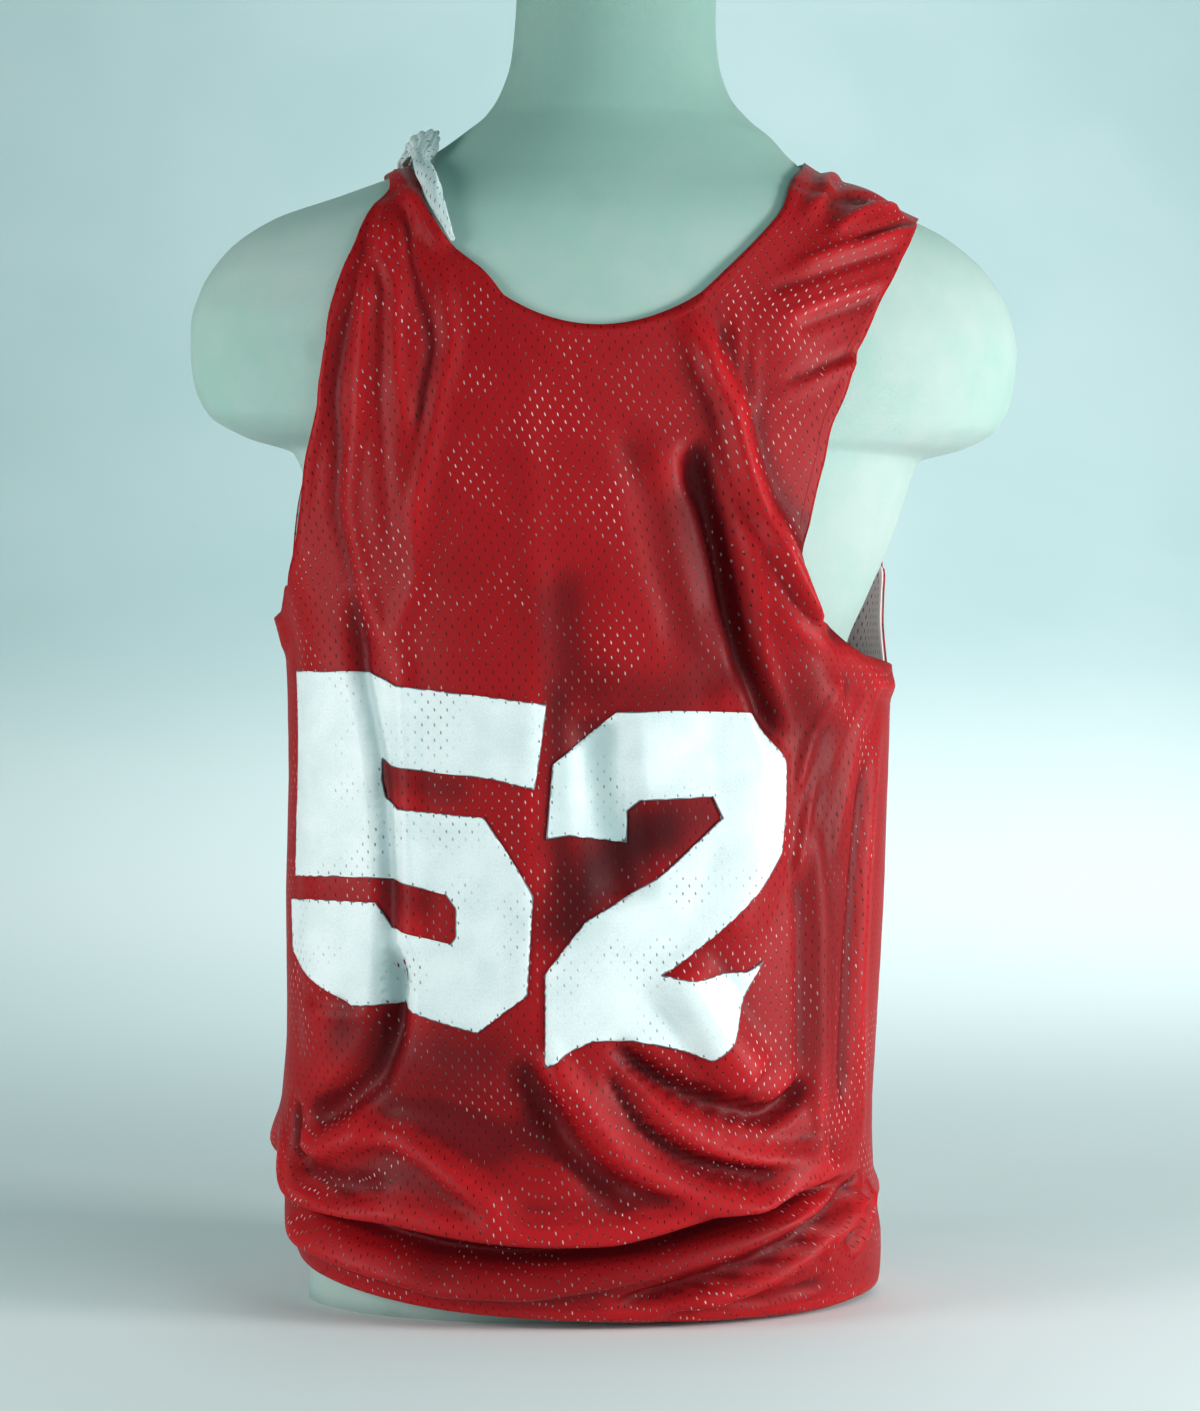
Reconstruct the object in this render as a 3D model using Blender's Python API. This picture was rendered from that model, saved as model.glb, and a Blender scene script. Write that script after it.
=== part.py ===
"""A reversible mesh basketball jersey hung on a limbless dress form.

Metres, +Z up, the form faces -Y and the origin is on the floor under its middle.
Every point of the cloth is first named by two numbers: an angle round the body, in degrees from the
front towards +X, and a height. The ring tables turn that into a place, and the folds then push it out or in.
"""

from collections import namedtuple

import bmesh
import bpy
import numpy as np

MM = 0.001

# ---------------------------------------------------------------- driving sizes
WALL = 1.2 * MM  # outer cloth
LINING_WALL = 0.9 * MM
LAYER_GAP = 0.5 * MM  # between an outer panel and the lining made from it
SEAM_GAP_DEG = 0.14  # half the gap at a side or shoulder seam, as an angle
FORM_CLEARANCE = 3.1 * MM  # least distance from the form's skin to the outside of the cloth
NECK_DIP = 19 * MM  # the front neckline's middle, below the line between its two sides
BACK_NECK_DIP = 10 * MM
FORM_SIDES = 44
ROLL_SIDES = 12
SMALL_TURN, SMALL_RISE = 0.5, 1.5 * MM  # steps for measuring slopes, in degrees and metres
WELD = 0.01 * MM

# ---------------------------------------------------------------- section tables, in mm
FormRing = namedtuple("FormRing", "height half_width front back middle")
FORM_RINGS = (
    FormRing(0, 172, 112, 104, -9),
    FormRing(60, 169, 114, 106, -9),
    FormRing(140, 158, 112, 101, -7),
    FormRing(220, 146, 107, 93, -5),
    FormRing(300, 140, 106, 88, -3),
    FormRing(360, 141, 110, 90, -2),
    FormRing(393, 147, 114, 92, -1),
    FormRing(420, 158, 118, 95, 0),
    FormRing(447, 170, 121, 98, 0),
    FormRing(480, 182, 124, 102, 0),
    FormRing(503, 191, 125, 104, 0),
    FormRing(512, 220, 125, 105, 0),
    FormRing(524, 241, 124, 106, 0),
    FormRing(545, 250, 122, 107, 0),
    FormRing(575, 253, 118, 107, 0),
    FormRing(600, 247, 112, 105, 0),
    FormRing(620, 235, 106, 102, 0),
    FormRing(640, 213, 99, 97, 0),
    FormRing(655, 182, 92, 91, 0),
    FormRing(670, 143, 84, 83, 0),
    FormRing(685, 114, 77, 74, 0),
    FormRing(697, 98, 72, 66, 0),
    FormRing(706, 85, 70, 60, 0),
    FormRing(720, 71, 70, 54, 0),
    FormRing(740, 63, 71, 49, 0),
    FormRing(765, 60, 74, 45, 0),
    FormRing(795, 59, 79, 40, 0),
    FormRing(799, 55, 75, 36, 0),
)

ClothRing = namedtuple("ClothRing", "height left right front back")
CLOTH_RINGS = (
    ClothRing(0, 181, 168, 129, 118),
    ClothRing(20, 187, 170, 137, 121),
    ClothRing(45, 194, 172, 141, 123),
    ClothRing(80, 200, 167, 142, 123),
    ClothRing(110, 201, 165, 141, 121),
    ClothRing(160, 197, 166, 140, 117),
    ClothRing(240, 194, 168, 139, 114),
    ClothRing(320, 193, 170, 139, 113),
    ClothRing(380, 195, 172, 139, 113),
    ClothRing(420, 203, 178, 138, 113),
    ClothRing(460, 216, 191, 136, 113),
    ClothRing(500, 234, 212, 133, 113),
    ClothRing(540, 253, 248, 129, 113),
    ClothRing(575, 257, 257, 122, 112),
    ClothRing(600, 251, 251, 116, 110),
    ClothRing(620, 239, 239, 110, 107),
    ClothRing(640, 217, 217, 103, 102),
    ClothRing(655, 186, 186, 96, 96),
    ClothRing(670, 147, 147, 88, 88),
    ClothRing(685, 118, 118, 81, 79),
    ClothRing(697, 102, 102, 76, 71),
    ClothRing(715, 82, 82, 74, 62),
)

# ---------------------------------------------------------------- cut of the panels
# Each row is a level of the panel, low to high. The marks are the columns where the outline turns: side seam,
# underarm, armhole corner and neck side. Each is an (angle in degrees, height in mm). `rows` is how many rows
# of the cloth lead up to the level, and `tuck` how far it goes from the cloth's ring towards the form.
Level = namedtuple(
    "Level", "rows tuck left_seam left_under left_arm left_neck right_neck right_arm right_under right_seam"
)
FRONT_BODY = (
    Level(0, 0.75, (-97, 34), (-86, 28), (-72, 23), (-28, 12), (14, 8), (40, 8), (58, 8), (88, 8)),
    Level(1, 0.50, (-97, 31), (-86, 25), (-72, 19), (-28, 4), (14, 1.4), (40, 1.4), (58, 1.4), (88, 1.4)),
    Level(1, 0.08, (-97, 31), (-86, 26), (-72, 20), (-28, 4), (14, 1.0), (40, 1.0), (58, 1.0), (88, 1.0)),
    Level(1, 0, (-97, 36), (-86, 31), (-72, 25), (-28, 9), (14, 5), (40, 5), (58, 5), (88, 5)),
    Level(4, 0, (-97, 50), (-86, 48), (-72, 46), (-28, 34), (14, 48), (40, 67), (58, 80), (88, 58)),
    Level(2, 0, (-97, 66), (-86, 64), (-72, 58), (-28, 45), (14, 60), (40, 79), (58, 93), (88, 74)),
    Level(3, 0, (-97, 95), (-86, 89), (-72, 71), (-28, 60), (14, 76), (40, 97), (57, 106), (88, 92)),
    Level(3, 0, (-97, 125), (-86, 124), (-73, 118), (-28, 100), (13, 104), (39, 118), (57, 122), (88, 116)),
    Level(2, 0, (-97, 150), (-86, 148), (-74, 146), (-27, 140), (13, 140), (38, 140), (57, 140), (88, 138)),
    Level(4, 0, (-97, 220), (-86, 218), (-74, 216), (-26, 212), (12, 210), (36, 210), (56, 208), (88, 206)),
    Level(8, 0, (-97, 404), (-86, 408), (-74, 424), (-25, 418), (12, 414), (33, 408), (52, 386), (88, 377)),
)
Strap = namedtuple("Strap", "rows arm neck")
FRONT_CHEST = (
    Level(2, 0, None, None, (-62, 468), (-24, 468), (11, 466), (29, 462), None, None),
    Level(2, 0, None, None, (-50, 520), (-22, 520), (10, 518), (30, 514), None, None),
    Level(2, 0, None, None, (-46, 562), (-19, 588), (7, 592), (31, 560), None, None),
)
FRONT_LEFT_STRAP = (
    Strap(1, (-44, 592), (-22, 603)),
    Strap(1, (-43, 615), (-28, 618)),
    Strap(1, (-44, 634), (-33, 636)),
    Strap(1, (-48, 651), (-43, 654)),
    Strap(2, (-63, 664), (-60, 670)),
    Strap(2, (-90, 668), (-90, 678)),
)
FRONT_RIGHT_STRAP = (
    Strap(1, (33, 585), (13, 614)),
    Strap(1, (38, 606), (22, 641)),
    Strap(1, (43, 622), (36, 662)),
    Strap(2, (57, 642), (58, 679)),
    Strap(2, (73, 652), (75, 686)),
    Strap(1, (90, 655), (90, 688)),
)
BACK_BODY = (
    Level(0, 0.75, (263, 34), (254, 30), (243, 24), (205, 12), (155, 10), (117, 8), (106, 8), (88, 8)),
    Level(1, 0.50, (263, 31), (254, 26), (243, 18), (205, 5), (155, 2), (117, 1.4), (106, 1.4), (88, 1.4)),
    Level(1, 0.08, (263, 31), (254, 26), (243, 18), (205, 5), (155, 1.5), (117, 1.0), (106, 1.0), (88, 1.0)),
    Level(1, 0, (263, 36), (254, 31), (243, 24), (205, 10), (155, 6), (117, 5), (106, 5), (88, 5)),
    Level(4, 0, (263, 50), (254, 49), (243, 46), (205, 34), (155, 32), (117, 38), (106, 44), (88, 58)),
    Level(2, 0, (263, 66), (254, 66), (243, 62), (205, 46), (155, 46), (117, 58), (106, 64), (88, 74)),
    Level(3, 0, (263, 95), (254, 91), (243, 87), (205, 64), (155, 63), (117, 75), (106, 81), (88, 92)),
    Level(3, 0, (263, 125), (254, 122), (243, 118), (205, 99), (155, 97), (117, 106), (106, 110), (88, 116)),
    Level(2, 0, (263, 150), (254, 150), (243, 148), (206, 142), (154, 140), (116, 138), (105, 138), (88, 138)),
    Level(4, 0, (263, 220), (254, 219), (243, 218), (208, 212), (152, 210), (115, 208), (104, 207), (88, 206)),
    Level(8, 0, (263, 404), (256, 410), (246, 428), (210, 430), (150, 430), (104, 440), (96, 404), (88, 377)),
)
BACK_CHEST = (
    Level(2, 0, None, None, (236, 470), (209, 476), (151, 476), (114, 476), None, None),
    Level(2, 0, None, None, (224, 520), (208, 530), (152, 530), (128, 520), None, None),
    Level(3, 0, None, None, (217, 575), (207, 600), (151, 608), (139, 575), None, None),
)
BACK_LEFT_STRAP = (
    Strap(1, (218, 606), (208, 628)),
    Strap(1, (223, 630), (214, 646)),
    Strap(1, (234, 648), (226, 658)),
    Strap(1, (252, 660), (248, 668)),
    Strap(1, (270, 668), (270, 678)),
)
BACK_RIGHT_STRAP = (
    Strap(1, (139, 603), (146, 632)),
    Strap(1, (133, 623), (138, 655)),
    Strap(1, (121, 640), (127, 672)),
    Strap(1, (106, 651), (110, 682)),
    Strap(1, (90, 655), (90, 688)),
)
FRONT_COLUMNS = (3, 3, 9, 8, 9, 4, 5)  # between the marks, left seam to right seam
BACK_COLUMNS = (2, 3, 6, 9, 6, 3, 3)
STRAP_COLUMNS = slice(2, 5)

# ---------------------------------------------------------------- folds
# A fold follows a path of (angle, height in mm). `reach` is how far to each side it acts, `out` how far its
# crest stands out (in, where negative), and `drop` how far the crest hangs down, all in mm.
Fold = namedtuple("Fold", "name reach out drop path")
FOLDS = (
    Fold("main roll", 17, 10, 5,
         ((-180, 60), (-150, 66), (-120, 86), (-97, 96), (-86, 90), (-76, 76), (-66, 67), (-48, 65),
          (-30, 60), (-15, 59), (0, 64), (15, 76), (32, 91), (48, 104), (66, 104), (88, 92), (110, 78),
          (140, 66), (180, 60))),
    Fold("trough above roll", 11, -7, 0,
         ((-84, 140), (-77, 118), (-74, 98), (-70, 84), (-62, 78), (-48, 78))),
    Fold("valley under roll", 11, -9, 0,
         ((-180, 44), (-140, 48), (-110, 66), (-90, 66), (-72, 58), (-48, 52), (-32, 45), (-15, 45),
          (0, 50), (14, 60), (31, 72), (46, 85), (62, 96), (88, 74), (120, 58), (180, 44))),
    Fold("second roll", 12, 7, 3,
         ((-110, 52), (-90, 50), (-74, 47), (-57, 42), (-38, 34), (-24, 33), (-5, 38), (10, 47), (30, 59),
          (47, 73), (62, 84), (84, 60), (110, 40), (150, 30))),
    Fold("valley under second roll", 9, -6, 0,
         ((-14, 16), (-2, 22), (14, 33), (28, 42), (42, 53), (54, 68), (66, 76))),
    Fold("third roll", 11, 6, 2, ((0, 12), (14, 20), (28, 28), (46, 38), (60, 54), (74, 62))),
    Fold("left bulge", 36, 4, 0, ((-104, 120), (-92, 105), (-84, 92))),
    Fold("swag trough", 17, -9, 0, ((-12, 172), (-2, 156), (8, 142), (20, 128), (34, 126))),
    Fold("swag ridge", 18, 7, 4, ((-14, 178), (-6, 148), (0, 120), (12, 101), (26, 90), (44, 96))),
    Fold("upper swag ridge", 16, 6, 3, ((14, 172), (24, 154), (38, 150))),
    Fold("lower swag trough", 15, -4, 0, ((-12, 128), (0, 98), (13, 84), (28, 76))),
    Fold("left pocket", 16, -5, 0, ((-44, 172), (-51, 156), (-58, 136), (-68, 118))),
    Fold("left pocket ridge", 20, 4, 0, ((-70, 100), (-54, 112), (-38, 122), (-24, 104))),
    Fold("middle crease", 9, 3, 0,
         ((-14, 470), (-16, 400), (-17, 340), (-18, 270), (-18, 190), (-18, 150))),
    Fold("left chest valley", 16, -6, 0,
         ((-44, 540), (-48, 490), (-51, 440), (-53, 374), (-51, 324), (-48, 244), (-47, 190))),
    Fold("left chest ridge", 22, 5, 0, ((-58, 500), (-64, 440), (-66, 370), (-66, 300), (-66, 220))),
    Fold("chest ridge", 26, 4, 0, ((-30, 560), (-34, 480), (-36, 400), (-36, 320), (-34, 240))),
    Fold("right chest valley", 21, -10, 0,
         ((3, 540), (6, 508), (10, 484), (14, 456), (16, 420), (19, 388), (25, 346), (29, 310))),
    Fold("right chest ridge", 18, 6, 0,
         ((8, 548), (13, 518), (17, 488), (22, 458), (27, 432), (31, 400), (36, 360), (42, 300))),
    Fold("underarm ridge", 12, 5, 0,
         ((86, 374), (72, 364), (62, 356), (56, 338), (52, 314), (48, 288), (46, 240))),
    Fold("underarm valley", 13, -6, 0, ((84, 352), (70, 340), (63, 318), (59, 292), (56, 250))),
    Fold("gather one", 9, 4, 0, ((56, 384), (50, 366), (46, 340), (42, 306))),
    Fold("gather two", 9, -4, 0, ((50, 386), (44, 366), (40, 338), (37, 300))),
    Fold("right side ridge", 10, 5, 0, ((47, 236), (46, 184), (46, 148), (46, 114), (45, 96))),
    Fold("right side valley", 10, -4, 0, ((56, 240), (55, 184), (55, 140), (55, 110))),
    Fold("left loop", 15, 6, 0, ((-104, 412), (-92, 402), (-86, 386))),
    Fold("strap rope", 22, 6, 0,
         ((-29, 600), (-37, 636), (-46, 652), (-62, 667), (-90, 673), (-112, 664), (-130, 646))),
    Fold("pleat one", 7, -5, 0, ((-46, 650), (-41, 636), (-40, 610), (-41, 570), (-44, 530))),
    Fold("pleat two", 7, -5, 0, ((-41, 646), (-37, 622), (-36, 596), (-38, 556), (-41, 510))),
    Fold("pleat three", 7, -4, 0, ((-38, 640), (-32, 604), (-31, 580), (-32, 540))),
    Fold("pleat ridge one", 7, 3, 0, ((-43, 640), (-43, 610), (-45, 570), (-50, 520))),
    Fold("pleat ridge two", 7, 3, 0, ((-41, 642), (-38, 606), (-39, 570), (-42, 530))),
    Fold("pleat ridge three", 7, 3, 0, ((-39, 640), (-34, 606), (-34, 570), (-36, 520))),
    Fold("right strap fold", 10, 4, 0, ((60, 660), (46, 652), (32, 634), (22, 606), (17, 570))),
    Fold("right strap trough", 9, -3, 0, ((52, 640), (40, 634), (28, 612), (22, 584))),
    Fold("back drape left", 24, 6, 0, ((212, 560), (208, 440), (206, 300), (206, 150))),
    Fold("back drape middle", 26, -5, 0, ((196, 590), (190, 440), (186, 300), (186, 160))),
    Fold("back drape right", 24, 7, 0, ((148, 560), (156, 440), (160, 300), (162, 150))),
    Fold("back side drape", 18, 6, 0, ((120, 430), (124, 340), (126, 250), (126, 150))),
    Fold("back left side drape", 18, 5, 0, ((236, 430), (236, 340), (238, 240), (238, 150))),
    Fold("back swag", 18, 6, 3, ((128, 180), (150, 130), (180, 112), (206, 124), (228, 170))),
    Fold("back swag trough", 15, -5, 0, ((128, 206), (150, 158), (180, 140), (206, 152), (228, 196))),
)
PATH_STEPS = 10  # points of a fold for each stretch of its path
FOLD_FADE = 0.16  # share of a fold's length over which each end dies away
DROP_SHARE, HEM_FLOOR = 0.6, 4 * MM  # a fold takes at most this share of the height over this level

# ---------------------------------------------------------------- lining that shows
LINING_ROWS = slice(22, 31)  # of the back panel's rows and columns
RIGHT_LINING_COLUMNS = slice(0, 12)
LEFT_LINING_COLUMNS = slice(20, 32)

# The white layer that is rolled out along the twisted strap. Each ring is named by the point of the strap's
# neck edge that it lies beside. `across` and `out` are its radii and `lift` its height over the smooth cloth,
# all in mm.
RollRing = namedtuple("RollRing", "angle height across out lift")
STRAP_ROLL = (
    RollRing(-27, 615, 1.5, 1.4, 2.0),
    RollRing(-31, 628, 3.0, 2.2, 2.6),
    RollRing(-35, 641, 4.2, 3.0, 3.4),
    RollRing(-43, 654, 5.0, 3.6, 4.2),
    RollRing(-55, 666, 5.4, 4.4, 5.2),
    RollRing(-69, 674, 7.6, 5.6, 7.0),
    RollRing(-84, 678, 9.8, 6.4, 8.2),
    RollRing(-99, 676, 9.0, 5.8, 7.4),
    RollRing(-113, 669, 6.6, 4.6, 5.6),
    RollRing(-125, 663, 4.4, 3.4, 4.0),
    RollRing(-134, 658, 2.2, 2.2, 2.6),
)
ROLL_STEPS = 3
ROLL_WALL = 1.0 * MM
ROLL_GAP = 1.6 * MM  # between the strap's edge and the roll beside it


# ---------------------------------------------------------------- reading the tables
def smooth(xs, ys, at):
    """The smooth curve through a table's column that never overshoots its own rows."""
    xs, ys = np.asarray(xs, float), np.asarray(ys, float)
    step = np.diff(xs)
    slope = np.diff(ys) / step
    tangent = np.concatenate([slope[:1], np.zeros(len(xs) - 2), slope[-1:]])
    for i in range(1, len(xs) - 1):
        if slope[i - 1] * slope[i] > 0:
            before, after = 2 * step[i] + step[i - 1], step[i] + 2 * step[i - 1]
            tangent[i] = (before + after) / (before / slope[i - 1] + after / slope[i])
    at = np.clip(at, xs[0], xs[-1])
    i = np.clip(np.searchsorted(xs, at) - 1, 0, len(xs) - 2)
    t = (at - xs[i]) / step[i]
    return (
        (1 + 2 * t) * (1 - t) ** 2 * ys[i]
        + t * (1 - t) ** 2 * step[i] * tangent[i]
        + t * t * (3 - 2 * t) * ys[i + 1]
        + t * t * (t - 1) * step[i] * tangent[i + 1]
    )


def column(rings, name, height):
    """One column of a ring table at any height, in metres."""
    return smooth([ring.height for ring in rings], [getattr(ring, name) for ring in rings], height / MM) * MM


def on_form(angle, height):
    """Points on the form's skin."""
    turn = np.radians(angle)
    half, front, back, middle = (column(FORM_RINGS, name, height) for name in FormRing._fields[1:])
    depth, centre = (front + back) / 2, (back - front) / 2
    return np.stack([middle + half * np.sin(turn), centre - depth * np.cos(turn), height + 0 * turn], -1)


def on_ring(angle, height):
    """Points on the smooth cloth, before its folds."""
    turn = np.radians(angle)
    left, right, front, back = (column(CLOTH_RINGS, name, height) for name in ClothRing._fields[1:])
    depth, centre = (front + back) / 2, (back - front) / 2
    side = np.where(np.sin(turn) < 0, left, right)
    return np.stack([side * np.sin(turn), centre - depth * np.cos(turn), height + 0 * turn], -1)


def outward(angle, height):
    """Unit normals of the smooth cloth."""
    across = on_ring(angle + SMALL_TURN, height) - on_ring(angle - SMALL_TURN, height)
    up = on_ring(angle, height + SMALL_RISE) - on_ring(angle, height - SMALL_RISE)
    normal = np.cross(across, up)
    return normal / np.linalg.norm(normal, axis=-1, keepdims=True)


def fold_points(fold):
    """A fold's path as points on the smooth cloth, with how strong the fold is at each."""
    path = np.array(fold.path, float)
    knots = np.arange(len(path))
    at = np.linspace(0, len(path) - 1, PATH_STEPS * (len(path) - 1) + 1)
    angle, height = smooth(knots, path[:, 0], at), smooth(knots, path[:, 1], at) * MM
    share = at / at[-1]
    end = np.clip(np.minimum(share, 1 - share) / FOLD_FADE, 0, 1)
    return on_ring(angle, height), end * end * (3 - 2 * end)


def folded(angle, height, tuck=0.0):
    """The outside of the draped cloth."""
    place, normal = on_ring(angle, height), outward(angle, height)
    room = ((place - on_form(angle, height)) * normal).sum(-1) - FORM_CLEARANCE
    push, drop = np.zeros(height.shape), np.zeros(height.shape)
    for fold in FOLDS:
        points, strength = fold_points(fold)
        gap = np.linalg.norm(place[..., None, :] - points, axis=-1)
        nearest = gap.argmin(-1)
        close = np.clip(gap.min(-1) / (fold.reach * MM), 0, 1)
        shape = (1 - close**2) ** 2 * strength[nearest]
        push += fold.out * MM * shape
        drop += fold.drop * MM * shape
    push = np.maximum(push, -room)
    place = place + normal * push[..., None]
    place[..., 2] -= np.minimum(drop, DROP_SHARE * np.maximum(place[..., 2] - HEM_FLOOR, 0))
    tuck = np.asarray(tuck)[..., None]
    inside = on_form(angle, np.maximum(height, 0))
    return place * (1 - tuck) + (inside * [1, 1, 0] + place * [0, 0, 1]) * tuck


# ---------------------------------------------------------------- laying out a panel
def spread_levels(levels, marks):
    """A grid of (angle, height, tuck), each stretch between two levels shared out evenly over its rows."""
    knots = np.array([[(*getattr(level, mark), level.tuck) for mark in marks] for level in levels], float)
    rows = [knots[0]]
    for below, above, level in zip(knots, knots[1:], levels[1:]):
        rows += [below + (above - below) * k / level.rows for k in range(1, level.rows + 1)]
    return np.array(rows)


def spread_columns(rows, counts):
    """The columns between the marks of each row, shared out evenly."""
    parts = [rows[:, :1]]
    for k, count in enumerate(counts):
        t = np.arange(1, count + 1)[None, :, None] / count
        parts.append(rows[:, k : k + 1] * (1 - t) + rows[:, k + 1 : k + 2] * t)
    return np.concatenate(parts, 1)


def strap_rows(below, straps):
    """Rows of a strap above the row of points that it grows from."""
    count = below.shape[0]
    t = np.linspace(0, 1, count)[:, None]
    rows, last = [], below[:, :2]
    for strap in straps:
        target = np.array(strap.arm, float) * (1 - t) + np.array(strap.neck, float) * t
        for k in range(1, strap.rows + 1):
            share = k / strap.rows
            rows.append(last * (1 - share) + target * share)
        last = target
    return np.array(rows)


def panel_layout(body, chest, left_strap, right_strap, counts, dip):
    """The whole panel as one grid of (angle, height, tuck), and which of its cells are cloth.

    The grid is as wide as the body. Above the underarm only the columns between the armholes are cloth, and
    above the neckline only those of the two straps.
    """
    marks = Level._fields[2:]
    low = spread_columns(spread_levels(body, marks), counts)
    edges = np.concatenate([[0], np.cumsum(counts)])
    arm_left, neck_left, neck_right, arm_right = edges[2], edges[3], edges[4], edges[5]
    top_of_body = body[-1]
    middle_levels = (top_of_body,) + chest
    middle = spread_columns(spread_levels(middle_levels, marks[2:6]), counts[STRAP_COLUMNS])[1:]
    rise = np.linspace(0, 1, len(middle)) ** 2
    share = np.linspace(0, 1, neck_right - neck_left + 1)
    bow = 1 - (2 * share - 1) ** 2
    middle[:, neck_left - arm_left : neck_right - arm_left + 1, 1] -= rise[:, None] * bow * dip / MM
    above = sum(strap.rows for strap in left_strap)
    grid = np.zeros((len(low) + len(middle) + above, low.shape[1], 3))
    grid[: len(low)] = low
    grid[len(low) :] = low[-1]
    grid[len(low) : len(low) + len(middle), arm_left : arm_right + 1] = middle
    top = len(low) + len(middle)
    grid[top:, arm_left : neck_left + 1, :2] = strap_rows(grid[top - 1, arm_left : neck_left + 1], left_strap)
    right = strap_rows(grid[top - 1, neck_right : arm_right + 1][::-1], right_strap)
    grid[top:, neck_right : arm_right + 1, :2] = right[:, ::-1]
    cloth = np.ones((grid.shape[0] - 1, grid.shape[1] - 1), bool)
    cloth[len(low) - 1 :, :arm_left] = False
    cloth[len(low) - 1 :, arm_right:] = False
    cloth[top - 1 :, neck_left:neck_right] = False
    return grid, cloth


def cell_normals(points, cloth):
    """Normals at the grid's corners, each the mean of the cells of cloth round it."""
    total = np.zeros_like(points)
    first, second = points[1:, 1:] - points[:-1, :-1], points[1:, :-1] - points[:-1, 1:]
    cell = np.cross(first, second) * cloth[..., None]
    for row, col in ((0, 0), (0, 1), (1, 0), (1, 1)):
        total[row : row + cell.shape[0], col : col + cell.shape[1]] += cell
    return total / np.maximum(np.linalg.norm(total, axis=-1, keepdims=True), 1e-12)


def numbered_grid(rows, columns):
    """Blender's flat grid, with a layer that names each corner by row * (columns + 1) + column."""
    bm = bmesh.new()
    bmesh.ops.create_grid(bm, x_segments=columns, y_segments=rows, size=1)
    place = bm.verts.layers.int.new("place")
    for vert in bm.verts:
        row, col = round((vert.co.y + 1) / 2 * rows), round((vert.co.x + 1) / 2 * columns)
        vert[place] = row * (columns + 1) + col
    return bm, place


def move_to(verts, place, points):
    """Moves numbered corners to their points of a grid of points."""
    flat = points.reshape(-1, 3)
    for vert in verts:
        vert.co = flat[vert[place]]


def finished_mesh(name, bm):
    """Turns every face outwards and hands the mesh over."""
    bmesh.ops.recalc_face_normals(bm, faces=bm.faces)
    mesh = bpy.data.meshes.new(name)
    bm.to_mesh(mesh)
    bm.free()
    return mesh


def mesh_of_wall(name, outer, inner, cloth):
    """A closed wall over the cells that are cloth: a grid, doubled, with its corners moved to both faces."""
    rows, columns = cloth.shape
    bm, place = numbered_grid(rows, columns)
    bare = []
    for face in bm.faces:
        first = min(vert[place] for vert in face.verts)
        if not cloth[divmod(first, columns + 1)]:
            bare.append(face)
    bmesh.ops.delete(bm, geom=bare, context="FACES")
    bmesh.ops.delete(bm, geom=[vert for vert in bm.verts if not vert.link_faces], context="VERTS")
    front = list(bm.verts)
    doubled = bmesh.ops.extrude_face_region(bm, geom=list(bm.faces), use_keep_orig=True)["geom"]
    move_to(front, place, outer)
    move_to([item for item in doubled if isinstance(item, bmesh.types.BMVert)], place, inner)
    return finished_mesh(name, bm)


def mesh_of_sleeve(name, points, capped):
    """A tube through a stack of closed rings of points, its first and last columns welded."""
    bm, place = numbered_grid(points.shape[0] - 1, points.shape[1] - 1)
    move_to(bm.verts, place, points)
    bmesh.ops.remove_doubles(bm, verts=bm.verts, dist=WELD)
    if capped:
        bmesh.ops.holes_fill(bm, edges=[edge for edge in bm.edges if edge.is_boundary], sides=0)
    return finished_mesh(name, bm)


# ---------------------------------------------------------------- finishing objects
def material(name, colour, roughness):
    """A plain Principled finish."""
    made = bpy.data.materials.new(name)
    made.use_nodes = True
    shader = made.node_tree.nodes["Principled BSDF"]
    shader.inputs["Base Color"].default_value = (*colour, 1)
    shader.inputs["Roughness"].default_value = roughness
    shader.inputs["Metallic"].default_value = 0
    return made


def add_object(name, mesh, finish):
    """Links a mesh as a named object with one finish, shaded smooth."""
    mesh.materials.append(finish)
    mesh.shade_smooth()
    made = bpy.data.objects.new(name, mesh)
    bpy.context.scene.collection.objects.link(made)
    return made


def pulled_off_seams(grid, seams):
    """Draws the columns and rows that lie on a seam back from it by half the seam's gap."""
    grid = grid.copy()
    for angle, side in seams:
        on_seam = np.isclose(grid[..., 0], angle)
        grid[..., 0][on_seam] += side * SEAM_GAP_DEG
    return grid


def panel_points(layout, seams):
    """The outside points of a panel, their normals and the cells that are cloth, all facing outwards.

    A normal on a seam is kept square to the way round the body, so that both panels' walls end in one plane.
    """
    grid, cloth = layout
    if grid[0, 0, 0] > grid[0, -1, 0]:
        grid, cloth = grid[:, ::-1], cloth[:, ::-1]
    pulled = pulled_off_seams(grid, seams)
    angle, height = pulled[..., 0], pulled[..., 1] * MM
    points = folded(angle, height, pulled[..., 2])
    normals = cell_normals(points, cloth)
    across = on_ring(angle + SMALL_TURN, height) - on_ring(angle - SMALL_TURN, height)
    across /= np.linalg.norm(across, axis=-1, keepdims=True)
    square = normals - across * (normals * across).sum(-1, keepdims=True)
    square /= np.linalg.norm(square, axis=-1, keepdims=True) + 1e-12
    on_seam = (pulled[..., 0] != grid[..., 0])[..., None]
    return points, np.where(on_seam, square, normals), cloth


def build_layer(name, panel, depth, wall, finish, rows=slice(None), columns=slice(None)):
    """A layer of a panel, or of a window in it, its outer face the given depth inside the panel's."""
    points, normals, cloth = panel
    row_span, column_span = range(cloth.shape[0])[rows], range(cloth.shape[1])[columns]
    cells = cloth[rows, columns]
    corners = slice(row_span[0], row_span[-1] + 2), slice(column_span[0], column_span[-1] + 2)
    points, normals = points[corners], normals[corners]
    mesh = mesh_of_wall(name, points - normals * depth, points - normals * (depth + wall), cells)
    return add_object(name, mesh, finish)


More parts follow.
